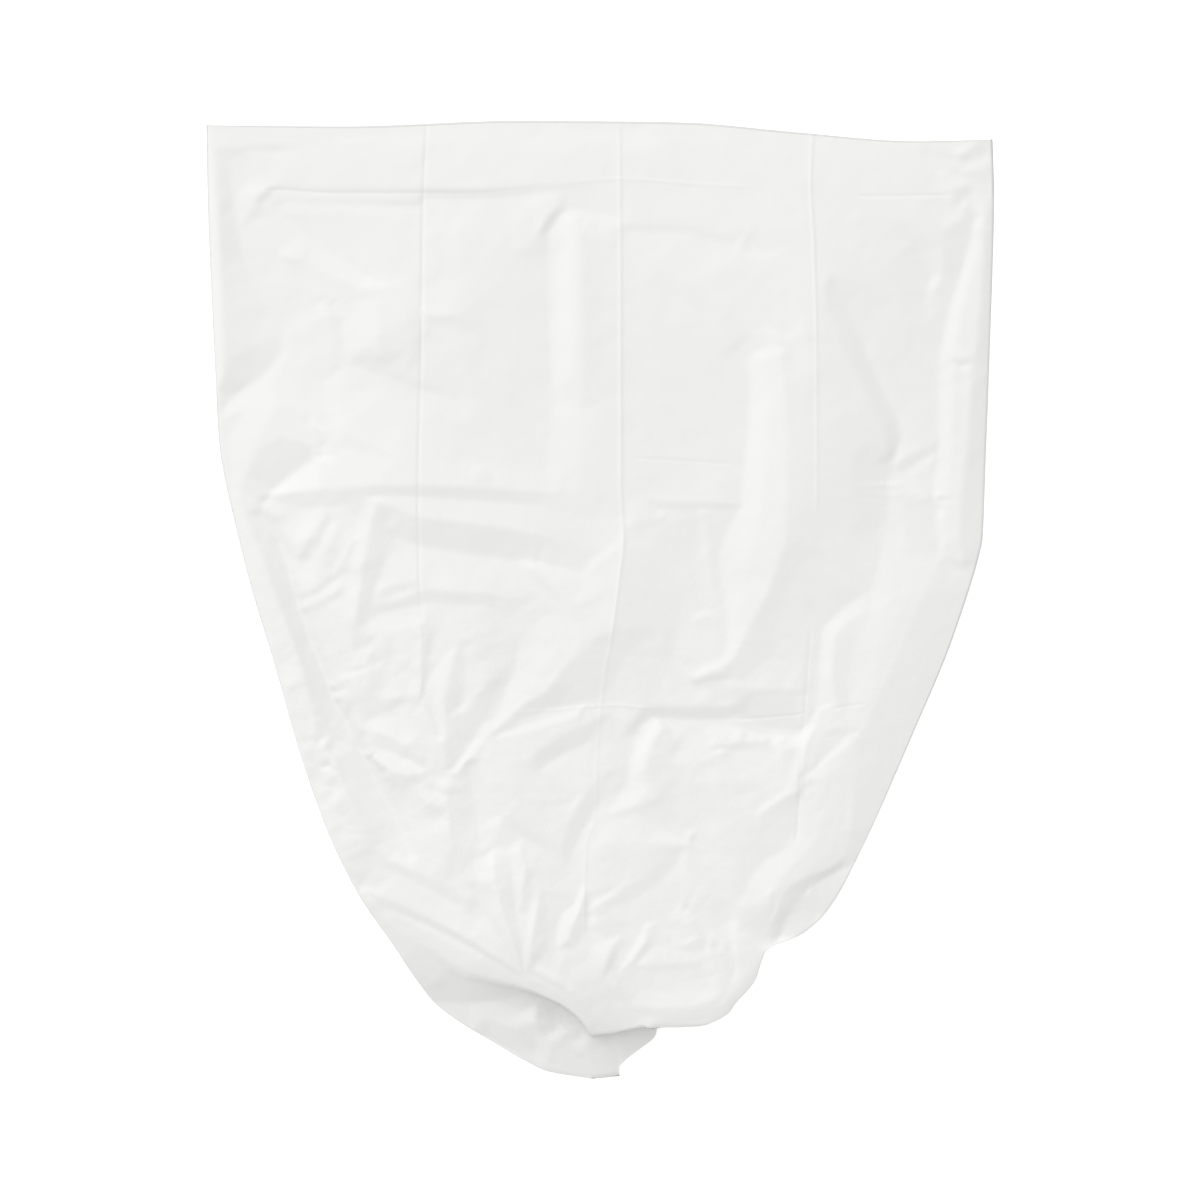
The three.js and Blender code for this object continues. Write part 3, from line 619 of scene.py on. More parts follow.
# %% Draw the folds of the pouch
POUCH_FOLDS = {
    "pouch line, top": [
        (24, -95, -.78), (34, -82, -.78), (60, -82, -1.04), (90, -82, -1.17), (104, -80, -1.17)],
    "pouch line": [
        (25, -110, -2.43), (30, -98, -2.7), (38, -90, -2.97), (60, -91, -3.24), (80, -92, -3.51),
        (99, -91, -3.51), (106, -88, -3.51), (118, -92, -3.78), (131, -99, -4.05), (154, -100, -3.78)],
    "pouch brow": [(50, -97, -2.8), (98, -97, -3.08), (128, -104, -3.64), (154, -105, -3.64)],
    "pouch brow, inner": [(60, -115, -1.68), (85, -115, -1.68), (110, -115, -1.82), (135, -116, -1.96)],
    "cusp, left foot": [
        (37, -101, -1.75), (29, -112, -2), (24, -125, -2), (22, -137, -2), (14, -152, -1.75),
        (6, -165, -1.25)],
    "cusp, crest": [
        (48, -98, -.8), (41, -106, .2), (36, -118, .7), (34, -130, .9), (37, -142, 1), (42, -152, .8)],
    "cusp, lower edge": [(42, -153, .6), (30, -156, .3), (18, -160, -.1), (7, -165, -.6)],
    "under the cusp": [(45, -158, 0), (32, -162, -.2), (18, -168, -.5)],
    "right of the cusp": [(56, -110, -1), (52, -126, .2), (50, -142, .5)],
    "gully left of the cusp": [
        (4, -150, -1.69), (-6, -164, -1.56), (-14, -178, -1.3), (-21, -194, -1.04), (-27, -204, -.91)],
    "rise left of the gully": [
        (6, -130, -.8), (-8, -143, -.2), (-18, -158, .2), (-25, -174, .3), (-30, -190, .2)],
    "pale plateau": [(-56, -132, .3), (-34, -134, -.5), (-50, -148, .5), (-30, -148, -.3)],
    "plateau line": [(-54, -154, .9), (-36, -154, .3), (-20, -152, -.5)],
    "plateau line, foot": [(-54, -157, .5), (-36, -157, 0), (-22, -156, -.7)],
    "plateau, lower edge": [(-72, -166, 1), (-60, -172, .8), (-50, -178, .5), (-40, -184, .2)],
    "under the plateau": [(-76, -172, .1), (-64, -179, -.2), (-52, -187, -.5), (-40, -193, -.7)],
    "ripple 1": [(92, -106, -1.6), (88, -113, -.9), (87, -121, -1)],
    "ripple 2": [(94, -118, -.8), (80, -124, -.8), (70, -126, -.9)],
    "ripple 3": [(94, -127, -.9), (82, -129, -1.1), (74, -136, -.8)],
    "ripple 4": [(108, -101, -2), (108, -106, -1.3), (112, -109, -1.6)],
    "ripple 5": [(96, -112, -1.2), (110, -109, -1.2), (126, -108, -1.8)],
    "ripple 6": [(139, -109, -1.6), (141, -115, -.8), (139, -123, -1)],
    "branch leaf, crest": [(118, -168, 0), (128, -161, .5), (139, -153, .7), (151, -147, .9)],
    "branch leaf, foot": [(122, -160, -.4), (134, -151, -.3), (146, -143, .1)],
    "crease edge": [(170, -84, -.4), (166, -96, -.3), (158, -110, -.1), (155, -125, 0), (152, -145, .3)],
    "crease edge, foot": [(166, -84, -1.2), (160, -98, -2), (153, -112, -1.6), (148, -130, -.8)],
    "right of the crease edge": [(176, -96, .2), (168, -112, 0), (164, -128, 0)],
    "flank cross line, over": [(178, -99, .5), (188, -98, .7), (198, -99, 1)],
    "flank cross line": [(176, -104, -.1), (186, -103, .1), (197, -102.5, .6)],
    "flank leaf, edge": [(198, -103, 1.2), (190, -112, .9), (178, -122, .4), (160, -137, -.2)],
    "flank leaf, foot": [(188, -106, -.1), (178, -116, -.3), (166, -128, -.6), (156, -136, -1)],
    "flank leaf, second edge": [(196, -108, 1.1), (190, -120, 1), (180, -130, .8), (168, -136, .5)],
    "pale fall, left foot": [
        (158, -140, -.4), (151, -160, -1), (150, -180, -1.1), (140, -192, -1.2), (127, -200, -1.2),
        (118, -210, -1.1), (112, -222, -.8)],
    "pale fall, crest": [
        (176, -142, .4), (172, -166, .3), (166, -184, .4), (152, -200, .4), (138, -212, .4), (128, -226, .5)],
    "pale fall, right": [(190, -150, .9), (188, -170, .9), (182, -190, .9), (165, -204, .9)],
    "hollow 1": [(42, -164, -.4), (56, -168, -.8), (70, -174, -1), (84, -182, -.6)],
    "hollow 1, floor": [(46, -174, -.9), (62, -182, -1.1), (78, -188, -.9)],
    "rise under hollow 1": [(10, -186, .6), (40, -186, .7), (60, -188, .4)],
    "hollow 2, upper": [(54, -192, .3), (44, -205, .2), (30, -215, .2), (10, -223, .2)],
    "hollow 2": [(64, -192, -.4), (58, -205, -.8), (46, -218, -1), (24, -230, -.9), (10, -236, -.6)],
    "hollow 2, right crest": [(68, -184, .4), (66, -198, .3), (68, -212, .2), (72, -228, .1)],
    "pale field": [(82, -205, 0), (86, -225, .2), (100, -215, 0), (104, -235, .3)],
    "level right of the hollow": [(100, -150, -.2), (100, -180, -.2), (120, -185, -.3), (95, -195, -.2)],
    "pale island": [(-10, -240, -.4), (-2, -234, .4), (14, -225, .3)],
    "pale island, foot": [(-8, -232, -.6), (2, -227, -.5), (14, -220, -.4)],
    "island 2": [(-6, -224, -.4), (4, -220, .1), (16, -216, -.1)],
    "island 3": [(-6, -247, -.4), (2, -240, 0), (12, -240, -.4)],
    "pale leaf by the crease, foot": [
        (-14, -218, -.6), (-20, -234, -1.2), (-31, -242, -1.5), (-33, -256, -1.6), (-34, -268, -1.3)],
    "pale leaf by the crease, crest": [(-12, -222, .2), (-15, -236, .6), (-20, -248, .7), (-26, -262, .1)],
    "right of the pale leaf": [(-8, -236, -1.4), (-10, -252, -1), (-18, -266, -1)],
    "facet 1, left edge": [(-12, -271, -.8), (-8, -279, -.6), (0, -287, -.4)],
    "facet 1, top": [(-12, -271, -.8), (0, -262, -.7), (16, -256, -.6)],
    "facet 1, crest": [(16, -257, -.4), (10, -266, .3), (6, -276, .6), (2, -286, .3)],
    "facet 1, right foot": [(20, -262, -.8), (14, -272, -.8), (8, -284, -.6)],
    "facet 2, left foot": [(34, -249, -1), (26, -264, -1.1), (16, -282, -.7)],
    "facet 2, crest": [(37, -250, -.4), (34, -263, .3), (26, -274, .3), (18, -283, -.2)],
    "facet 2, right foot": [(44, -258, -.8), (36, -270, -.8), (26, -282, -.7)],
    "streak to the rim": [(7, -286, -.3), (12, -296, .7), (19, -308, .3)],
    "streak to the rim, feet": [(12, -286, -.6), (18, -297, -.5), (25, -307, -.5)],
    "streak to the rim, left": [(2, -290, -.4), (8, -300, -.3), (15, -309, -.2)],
    "facet 3": [(47, -246, -1), (55, -239, -.6), (62, -238, -.4)],
    "facet 3, crest": [(62, -238, -.8), (70, -247, .2), (77, -258, .1)],
    "facet 3, right foot": [(66, -236, -1.3), (75, -246, -1), (83, -255, -.9)],
    "facet 3, inner": [(56, -252, -1), (57, -268, -.9)],
    "ray 1": [(81, -258, -.6), (85, -274, .3), (92, -290, .6), (99, -303, .3)],
    "ray 1, foot": [(79, -270, -1), (86, -292, -.6), (93, -304, -.3)],
    "ray 2": [(86, -252, -.6), (93, -268, .3), (100, -284, .3)],
    "ray 2, foot": [(90, -266, -.8), (97, -282, -.5), (101, -296, -.3)],
    "ray 3": [(103, -244, -.2), (105, -268, .5), (107, -290, .2)],
    "ray 3, foot": [(98, -246, -1), (101, -268, -.6), (103, -288, -.4)],
    "terrace": [(18, -280, -.3), (45, -280, -.1), (75, -277, -.4)],
    "terrace, under": [(28, -284, -.8), (50, -284, -.8), (76, -283, -.9)],
    "terrace floor": [(30, -298, -.9), (55, -300, -1), (80, -298, -.8)],
    "fan right edge": [(112, -250, .2), (116, -268, .3), (114, -286, .2)],
    "pleat by the pocket": [(134, -222, .5), (135, -236, 0), (134, -249, -.4)],
    "pleat by the pocket, left": [(130, -224, .9), (130, -238, .7), (128, -250, .4)],
    "pouch line, top right": [(104, -66, -.2), (128, -70, -.3), (150, -70, -.4)],
    "pouch brow, end": [(60, -140, -.42), (90, -140, -.28), (120, -140, -.42)],
}
print(len(POUCH_FOLDS), "folds on the pouch")

# %% Draw the pleats of the seal, the lobe and the pocket
SEAL_FOLDS = {
    "pleat 1, top": [
        (-174, -196, -1.4), (-160, -201, -.8), (-142, -209, -.3), (-120, -218, .1), (-103, -228, .1)],
    "pleat 1, valley": [
        (-174, -204, -1.6), (-160, -208, -1.5), (-142, -216, -1.2), (-122, -227, -.9), (-98, -243, -.7)],
    "pleat 2, crest": [
        (-168, -229, .2), (-150, -236, .6), (-128, -246, .8), (-106, -258, .8), (-84, -272, .6),
        (-62, -286, .2)],
    "pleat 2, valley": [
        (-165, -237, -.6), (-140, -247, -.8), (-120, -256, -.9), (-100, -265.5, -.9), (-80, -277, -.9),
        (-62, -288.5, -.9)],
    "pleat 3, crest": [
        (-158, -241, -.2), (-140, -252, -.1), (-122, -261, -.1), (-106, -270, -.2), (-86, -281, -.3),
        (-60, -294, -.6)],
    "small crinkle at the left": [(-184, -220, -1.2), (-178, -224, -.2), (-173, -222, -1)],
    "star leaf 1, foot": [
        (-97, -220, -.8), (-90, -238, -.96), (-78, -258, -.96), (-67, -278, -.64), (-59, -295, -.48)],
    "star leaf 1, top": [(-97, -219, -.3), (-88, -205, .4), (-80, -196, .7)],
    "star leaf 1, crest": [
        (-82, -197, 1.4), (-81, -215, 2), (-75, -240, 2.1), (-67, -264, 1.4), (-60, -283, .5)],
    "star leaf 1, over": [(-97, -200, -.7), (-86, -196, -.6)],
    "star valley 1": [(-68, -198, .2), (-67, -214, .3), (-64, -240, 0), (-60, -266, -.1), (-58, -286, -.2)],
    "star leaf 2, crest": [(-62, -197, 1.3), (-57, -206, 1.7), (-59, -218, 1.5), (-61, -233, .9)],
    "star leaf 2, right": [(-56, -203, 1.2), (-49, -206, .6), (-53, -216, .5)],
    "star ray 1": [(-45, -222, .39), (-49, -240, 1.17), (-53, -262, 1.3), (-56, -282, .78)],
    "star ray 1, foot": [(-52, -226, .3), (-55, -244, .2), (-57, -262, .1)],
    "star ray 2": [(-43, -262, .26), (-50, -271, .91), (-54, -282, .65)],
    "star ray 2, foot": [(-40, -268, -.6), (-47, -277, -.3), (-52, -286, -.1)],
    "star valley 2": [(-40, -232, -.6), (-41, -250, -.7), (-42, -262, -.5)],
    "flap, upper line": [(-55, -282, .4), (-44, -287, .7), (-32, -294, .9), (-22, -302, .9), (-16, -309, .8)],
    "flap, groove": [(-56, -286, -.1), (-45, -291, 0), (-32, -298, .2), (-22, -306, .4)],
    "flap, second line": [(-52, -292, .3), (-40, -297, .6), (-28, -304, .8), (-20, -311, .8)],
    "over the flap": [(-50, -276, -.5), (-36, -283, -.5), (-24, -290, -.5), (-14, -300, -.4)],
    "flap, edge": [(-57, -297, -.4), (-45, -302, -.2), (-30, -309, .1), (-20, -316, .2), (-14, -322, .3)],
    "flap, middle": [(-14, -314, .9), (-4, -323, .9), (8, -326, .5)],
    "pouch rim, top": [(-4, -311, .4), (20, -312, .2), (45, -313, .3), (70, -312, .3), (90, -306, .2)],
    "pouch rim": [(30, -318, -.5), (55, -323, -.9), (75, -322, -.9), (92, -314, -.5)],
    "pocket, upper edge": [
        (193, -181, 1), (188, -198, .8), (176, -206, .7), (160, -212, .7), (148, -218, .6), (140, -226, .4),
        (136, -238, .2), (132, -250, 0)],
    "pocket": [
        (186, -206, -1.28), (172, -214, -1.76), (160, -222, -1.92), (150, -232, -2.08), (143, -244, -2.08),
        (139, -256, -1.76)],
    "pocket line": [(162, -216, -.8), (164, -228, -1.12), (166, -240, -1.6)],
    "lobe crinkle": [(-134, -286, 0), (-131, -296, .8), (-128, -303, .1)],
    "lobe fold 1": [(-48, -334, 0), (-43, -345, 1), (-33, -356, .8), (-24, -363, .2)],
    "lobe fold 1, foot": [(-52, -338, -.6), (-48, -350, -.5), (-38, -359, -.2)],
    "lobe fold 2": [(-33, -340, 0), (-26, -350, .6), (-16, -361, .2)],
    "lobe fold 3": [(-29, -338, 1), (-21, -334, 1.4), (-14, -333, .6)],
    "lobe fold 3, under": [(-28, -343, -.4), (-18, -340, -.4), (-10, -339, -.4)],
    "lobe fold 4": [(-12, -346, 0), (-6, -355, .8), (2, -364, .2)],
    "lobe fold 5": [(8, -342, 0), (9, -353, .7), (11, -362, .1)],
    "dark line over the star": [(-97, -193, -.4), (-85, -189, -.2), (-72, -193, -.2)],
    "pocket line, foot": [(155, -226, -2.32), (154, -238, -2.4)],
}
print(len(SEAL_FOLDS), "folds at the seal")
ALL_FOLDS = [MOUTH_FOLDS, LEFT_FOLDS, MIDDLE_FOLDS, RIGHT_FOLDS, HUB_FOLDS, POUCH_FOLDS, SEAL_FOLDS]

# %% [markdown]
# ## From lines to facets
#
# The points of every line are set close together, so that the triangles can't cut across it. Where there
# are no lines, the film still isn't perfectly flat, so loose points with small seeded heights fill the
# gaps. Rays cast straight down onto the triangles turn the net into a map of heights on an even grid. The
# map is then drawn smooth over less than a millimetre, because film bends at a fold and doesn't break.

# %% Turn points into a facet net
POINT_PITCH = 4.0
LOOSE_PITCH = 30.0
LOOSE_HEIGHT = 0.3
LOOSE_CLEARANCE = 13
LOOSE_DRIFT = .42
LOOSE_SEED = 7
MERGE_DISTANCE = 1.6
NET_HALF_WIDTH = 310
NET_HALF_LENGTH = 376
OUTLINE_PITCH = 8
ROW_LENGTH = 46
RAY_HEIGHT = 100
BELOW = Vector((0, 0, -1))


def points_along(line):
    """The points of one fold, with more set between them at an even pitch."""
    points = []
    for (x0, y0, h0), (x1, y1, h1) in zip(line, line[1:]):
        steps = max(int(math.hypot(x1 - x0, y1 - y0) / POINT_PITCH), 1)
        for step in range(steps):
            share = step / steps
            points.append((x0 + share * (x1 - x0), y0 + share * (y1 - y0), h0 + share * (h1 - h0)))
    return points + [line[-1]]


def outline_points(pitch):
    """Points round both sides of the plan, where the net has no height of its own."""
    points = []
    for side_x, side_y in ((left_x, left_y), (right_x, right_y)):
        for row in np.arange(0, LAST_ROW + .01, pitch / ROW_LENGTH):
            points.append((float(side_x(row)), float(side_y(row)), 0.0))
    return points


def loose_points(pitch, height, taken, clearance, rng):
    """Seeded points of small random height, off the places that are taken already."""
    grid = {}
    for x, y, _ in taken:
        grid.setdefault((int(x // clearance), int(y // clearance)), []).append((x, y))
    points = []
    for across in np.arange(-NET_HALF_WIDTH, NET_HALF_WIDTH + 1, pitch):
        for along in np.arange(-NET_HALF_LENGTH, NET_HALF_LENGTH + 1, pitch):
            x = across + rng.uniform(-LOOSE_DRIFT, LOOSE_DRIFT) * pitch
            y = along + rng.uniform(-LOOSE_DRIFT, LOOSE_DRIFT) * pitch
            h = rng.uniform(-height, height)
            cell = (int(x // clearance), int(y // clearance))
            near = [point for i in (-1, 0, 1) for j in (-1, 0, 1)
                    for point in grid.get((cell[0] + i, cell[1] + j), [])]
            if all(math.hypot(x - a, y - b) > clearance for a, b in near):
                points.append((x, y, h))
    return points


def merged(points, distance):
    """The points with those closer than a distance joined, so that no facet is a sliver."""
    kept = {}
    for x, y, h in points:
        key = (round(x / distance), round(y / distance))
        kept.setdefault(key, []).append((x, y, h))
    return [tuple(np.mean(group, axis=0)) for group in kept.values()]


def facet_net(points):
    """A tree of facets through points, to cast rays on."""
    flat = [Vector((x, y)) for x, y, h in points]
    corners, _, faces, origins, _, _ = geometry.delaunay_2d_cdt(flat, [], [], 0, 1e-4)
    solid = [Vector((at.x, at.y, points[origin[0]][2])) for at, origin in zip(corners, origins)]
    return BVHTree.FromPolygons(solid, faces)


FOLD_RADIUS = 0.7
MAP_PITCH = 1.25
MAP_X = np.arange(-312, 313, MAP_PITCH)
MAP_Y = np.arange(-378, 379, MAP_PITCH)


def level_of(tree, x, y):
    """Height of a net at one place, and 0 outside it."""
    hit = tree.ray_cast(Vector((x, y, RAY_HEIGHT)), BELOW)[0]
    return 0.0 if hit is None else hit.z


def height_map(tree):
    """Heights of a net on a fine even grid, one row for each place along the bag."""
    return np.array([[level_of(tree, x, y) for x in MAP_X] for y in MAP_Y])


def softened(heights, radius):
    """A height map drawn smooth over a radius, which gives every fold a bend instead of a knife edge."""
    for _ in range(max(round(4 * (radius / MAP_PITCH) ** 2), 1)):
        padded = np.pad(heights, 1, "edge")
        sides = padded[:-2, 1:-1] + padded[2:, 1:-1] + padded[1:-1, :-2] + padded[1:-1, 2:]
        heights = heights / 2 + sides / 8
    return heights


def read_map(heights, x, y):
    """Heights between the points of a map, at arrays of places."""
    across = np.clip((x - MAP_X[0]) / MAP_PITCH, 0, len(MAP_X) - 1.001)
    along = np.clip((y - MAP_Y[0]) / MAP_PITCH, 0, len(MAP_Y) - 1.001)
    column = across.astype(int)
    row = along.astype(int)
    u = across - column
    v = along - row
    near = heights[row, column] * (1 - u) + heights[row, column + 1] * u
    far = heights[row + 1, column] * (1 - u) + heights[row + 1, column + 1] * u
    return near * (1 - v) + far * v


rng = random.Random(LOOSE_SEED)
drawn = [point for group in ALL_FOLDS for line in group.values() for point in points_along(line)]
taken = drawn + outline_points(OUTLINE_PITCH)
plain_net = facet_net(merged(taken, MERGE_DISTANCE))
loose = [(x, y, h + level_of(plain_net, x, y))
         for x, y, h in loose_points(LOOSE_PITCH, LOOSE_HEIGHT, taken, LOOSE_CLEARANCE, rng)]
fold_points = merged(taken + loose, MERGE_DISTANCE)
fold_net = facet_net(fold_points)
fold_count = sum(len(group) for group in ALL_FOLDS)
print(len(drawn), "points on", fold_count, "folds, and", len(fold_points), "in the net")

# %% [markdown]
# ## The lobe under the seal
#
# Below the pouch, the film that is gathered into the seal fans out into a small lobe that lies much lower.
# One grid of film can't lie in two layers, so the step down to the lobe is a steep bank along the pouch's
# edge. The lobe has a net of its own, with heights above the floor.

# %% Lay the lobe under the seal
LOBE_LINE = [
    (-200, -205), (-172, -232), (-156, -248), (-142, -258), (-126, -269), (-112, -280), (-100, -287),
    (-84, -291), (-57, -298), (-45, -303), (-30, -310), (-20, -317), (-13, -324), (-6, -334), (10, -332),
    (23, -329), (32, -327), (48, -330),
]
LOBE_BANK = [(-110, 8), (-60, 5), (-45, 3), (48, 3)]
LOBE_END = 48
LOWEST_LOFT = 1
LOBE_SHEET = {  # heights above the floor, not above the loft
    "under the seal": [
        (-200, -205, 20), (-172, -232, 21), (-142, -258, 21), (-112, -280, 21), (-84, -291, 18),
        (-57, -298, 12.5), (-45, -303, 10), (-30, -310, 7.5), (-20, -317, 6), (-13, -324, 5.5),
        (-6, -334, 5.5), (10, -332, 7), (23, -329, 9), (32, -327, 9), (52, -328, 8)],
    "left outline": [
        (-210, -200, 18), (-198, -210, 18), (-188, -230, 17), (-172, -253, 16), (-154, -280, 14),
        (-141, -295, 10), (-133, -308, 4), (-129, -313, 2.5)],
    "tip of the lobe": [
        (-129, -313, 2.5), (-112, -327, 2), (-96, -337, 1.5), (-86, -343, 1), (-60, -358, 1), (-42, -368, .8),
        (-20, -372, .8), (-5, -374, .8), (16, -372, .8)],
    "foot of the dark fold": [
        (-129, -311, 2.8), (-110, -311.5, 5), (-92, -310.5, 6.8), (-75, -309, 8.4), (-57, -305, 11)],
    "pale triangle": [(-95, -332, 5), (-87, -325, 6), (-80, -317, 7.4), (-75, -310, 8)],
    "right of the triangle": [(-44, -311, 9.2), (-62, -317, 8.4), (-66, -331, 8.6), (-50, -326, 10.5)],
    "dark band": [(-91, -336, 2.2), (-70, -347, 1.8), (-52, -357, 1.6), (-48, -346, 4)],
    "round lobe": [(-45, -337, 7), (-30, -342, 6.6), (-12, -344, 6), (6, -342, 5)],
    "round lobe, rim": [(-42, -360, 3.4), (-28, -365, 3.2), (-8, -368, 3), (8, -366, 3), (14, -354, 3)],
    "shadow under the flap": [(-36, -320, 4), (-28, -326, 3), (-16, -334, 3.6), (-34, -330, 5)],
    "right of the lobe": [(16, -338, 8), (30, -337, 7), (43, -336, 5), (18, -350, 5)],
}


def lobe_share(x, y):
    """1 on the lobe under the seal, 0 on the rest of the bag, with a bank between them."""
    bound = np.interp(x, [point[0] for point in LOBE_LINE], [point[1] for point in LOBE_LINE])
    below = np.where((y < bound) & (x < LOBE_END), 1, -1) * distance_to(LOBE_LINE, x, y)
    bank = np.interp(x, [place for place, width in LOBE_BANK], [width for place, width in LOBE_BANK])
    share = np.clip(below / bank, 0, 1)
    return share * share * (3 - 2 * share)


def with_lobe(x, y, body):
    """Heights of the smooth bag with the lobe let in."""
    share = lobe_share(x, y)
    return np.maximum((1 - share) * body + share * read_map(lobe_map, x, y), LOWEST_LOFT)


lobe_points = [point for line in LOBE_SHEET.values() for point in points_along(line)]
lobe_map = softened(height_map(facet_net(merged(lobe_points, MERGE_DISTANCE))), FOLD_RADIUS)
print("lobe is", round(float(lobe_map.max()), 1), "mm high where it meets the flank")

# %% [markdown]
# ## The crumple
#
# The third layer is finer: film that has been handled breaks into small facets a centimetre or two across.
# It is strong where the film is loose, at the lower left and around the hubs, and weak where the film lies
# taut near the mouth. Two more nets of seeded points make it, a coarse one and a fine one, and a map of
# round patches says how strong it is.

# %% Make the crumple nets
CRUMPLE_PATCHES = [  # x, y, radius, strength
    (-215, 40, 55, 1.0), (-175, -50, 50, 1.0), (-130, -110, 60, .8), (-60, -60, 60, .5), (-80, -230, 70, .6),
    (60, -150, 90, .5), (90, -260, 60, .6), (0, -270, 60, .6), (288, 320, 34, 1.0), (-210, 210, 60, .5),
    (275, 180, 30, .6), (-240, -40, 40, .6), (-30, -340, 60, .9), (150, -240, 40, .6), (-215, -120, 45, .7),
    (160, -140, 40, .5),
]
CRUMPLE_FLOOR = 0.22
COARSE_PITCH = 15
COARSE_HEIGHT = 0.75
COARSE_SEED = 11
FINE_PITCH = 6.5
FINE_HEIGHT = 0.26
FINE_SEED = 12


def crumple_strength(x, y):
    """How strong the crumple is at places: a little everywhere, and more in the patches."""
    strength = np.full(x.shape, CRUMPLE_FLOOR)
    for patch_x, patch_y, radius, peak in CRUMPLE_PATCHES:
        away = ((x - patch_x) ** 2 + (y - patch_y) ** 2) / radius ** 2
        strength = np.maximum(strength, peak * np.exp(-away))
    return strength


coarse_net = facet_net(loose_points(COARSE_PITCH, COARSE_HEIGHT, [], 1, random.Random(COARSE_SEED)))
fine_net = facet_net(loose_points(FINE_PITCH, FINE_HEIGHT, [], 1, random.Random(FINE_SEED)))
print("crumple in", len(CRUMPLE_PATCHES), "patches")

# %% [markdown]
# ## The mesh
#
# The front film is one grid whose columns follow the long creases and whose rows follow the cross creases.
# Each crease gets three columns of its own, under a millimetre apart, so that it stays a sharp line. The
# back film is a coarser grid that lies on the floor and turns up in a round edge along the sides. Both are
# made by the same operator, moved into place, and welded along the two sides and at the seal. The mouth
# stays open, and there the lip of the back film shows a little beyond the front film.

# %% Space the columns and rows
STRETCH_ROWS = (19, 84, 98, 158)
PANEL_COLUMNS = (62, 57, 56, 56)
BACK_COLUMNS = 36
LAST_PANEL = len(PANEL_COLUMNS) - 1
WIDEST_SHARP_SHARE = 0.004
ROW_SAMPLES = 3201


def column_shares(row):
    """Shares across a row for every column of the front film, with three columns at each long crease."""
    guides = guide_places(row)
    width = math.hypot(right_x(row) - left_x(row), right_y(row) - left_y(row))
    sharp = min(CREASE_HALF_WIDTH / width, WIDEST_SHARP_SHARE)
    shares = []
    for panel, count in enumerate(PANEL_COLUMNS):
        start = guides[panel] + (sharp if panel else 0)
        end = guides[panel + 1] - (sharp if panel < LAST_PANEL else 0)
        shares += list(np.linspace(start, end, count))
        if panel < LAST_PANEL:
            shares.append(guides[panel + 1])
    return shares


def row_numbers():
    """Row numbers from mouth to seal, evenly spaced down each stretch between cross creases."""
    fine = np.linspace(0, LAST_ROW, ROW_SAMPLES)
    down = -(left_y(fine) + right_y(fine)) / 2
    down -= down[0]
    creases = [float(np.interp(row, fine, down)) for row in SHARP_ROWS]
    stops = []
    start = 0.0
    for crease, count in zip(creases + [down[-1]], STRETCH_ROWS):
        end = crease - CREASE_HALF_WIDTH if crease < down[-1] else crease
        stops += list(np.linspace(start, end, count))
        if crease < down[-1]:
            stops.append(crease)
        start = crease + CREASE_HALF_WIDTH
    return np.interp(stops, down, fine), creases, np.array(stops)


numbers, crease_drops, drops = row_numbers()
front_shares = np.array([column_shares(row) for row in numbers])
crease_columns = [PANEL_COLUMNS[0], sum(PANEL_COLUMNS[:2]) + 1, sum(PANEL_COLUMNS[:3]) + 2]
print(len(numbers), "rows and", front_shares.shape[1], "columns")

# %% Work out the front film
CRUMPLE_RADIUS = 0.7
SIDE_FADE = 2.2


def plan_of(shares):
    """Plan places of a grid of shares."""
    start = np.stack([left_x(numbers), left_y(numbers)], -1)[:, None, :]
    end = np.stack([right_x(numbers), right_y(numbers)], -1)[:, None, :]
    plan = start + shares[:, :, None] * (end - start)
    x = plan[:, :, 0]
    bend = np.array([row_bend(row, x[j]) for j, row in enumerate(numbers)])
    return x, plan[:, :, 1] + bend


film_x, film_y = plan_of(front_shares)
near_side = np.minimum(distance_to(left_line, film_x, film_y), distance_to(right_line, film_x, film_y))
side_fade = np.clip(near_side / SIDE_FADE, 0, 1)
fold_map = softened(height_map(fold_net), FOLD_RADIUS)
crumple_map = softened(height_map(coarse_net) + height_map(fine_net), CRUMPLE_RADIUS)
folds = read_map(fold_map, film_x, film_y) * side_fade
crumple = read_map(crumple_map, film_x, film_y) * crumple_strength(film_x, film_y) * side_fade
film_z = with_lobe(film_x, film_y, loft_height(film_x, film_y)) + folds + crumple
print("front film is", round(float(film_z.max()), 1), "mm high, folds", round(float(folds.min()), 1), "to",
      round(float(folds.max()), 1))

# %% Press in the factory creases
LONG_CREASE_PRESS = [  # how far each long crease stands up at places along it, mouth to seal
    [(-371, 0), (-368, -.3), (-300, -.32), (-200, -.3), (-90, -.3), (-5, -.25), (30, -.1), (60, 0), (371, 0)],
    [(-371, 0), (-366, .2), (-320, .25), (-250, .3), (-150, .35), (-80, .3), (20, .25), (120, .1), (160, .1),
     (250, .2), (265, 0), (371, 0)],
    [(-371, 0), (-362, .3), (-250, .3), (-160, .22), (-80, .2), (-60, 0), (20, 0), (30, -.2), (100, -.2),
     (180, -.25), (190, 0), (371, 0)],
]
CROSS_CREASE_PRESS = [  # how far each cross crease stands up at places across it
    [(-300, 0), (-264, 0), (-255, -.2), (-137, -.2), (-60, -.1), (20, .15), (110, .12), (118, 0), (195, 0),
     (205, -.18), (268, -.18), (275, 0), (300, 0)],
    [(-300, 0), (24, 0), (32, -.14), (98, -.14), (104, 0), (300, 0)],
    [(-240, 0), (-64, 0), (-56, .18), (-20, .15), (10, .2), (32, .2), (40, 0), (104, 0), (110, -.25),
     (155, -.25), (158, 0), (176, 0), (181, -.2), (200, -.2), (204, 0), (240, 0)],
]
FILM_LOWEST = 0.8

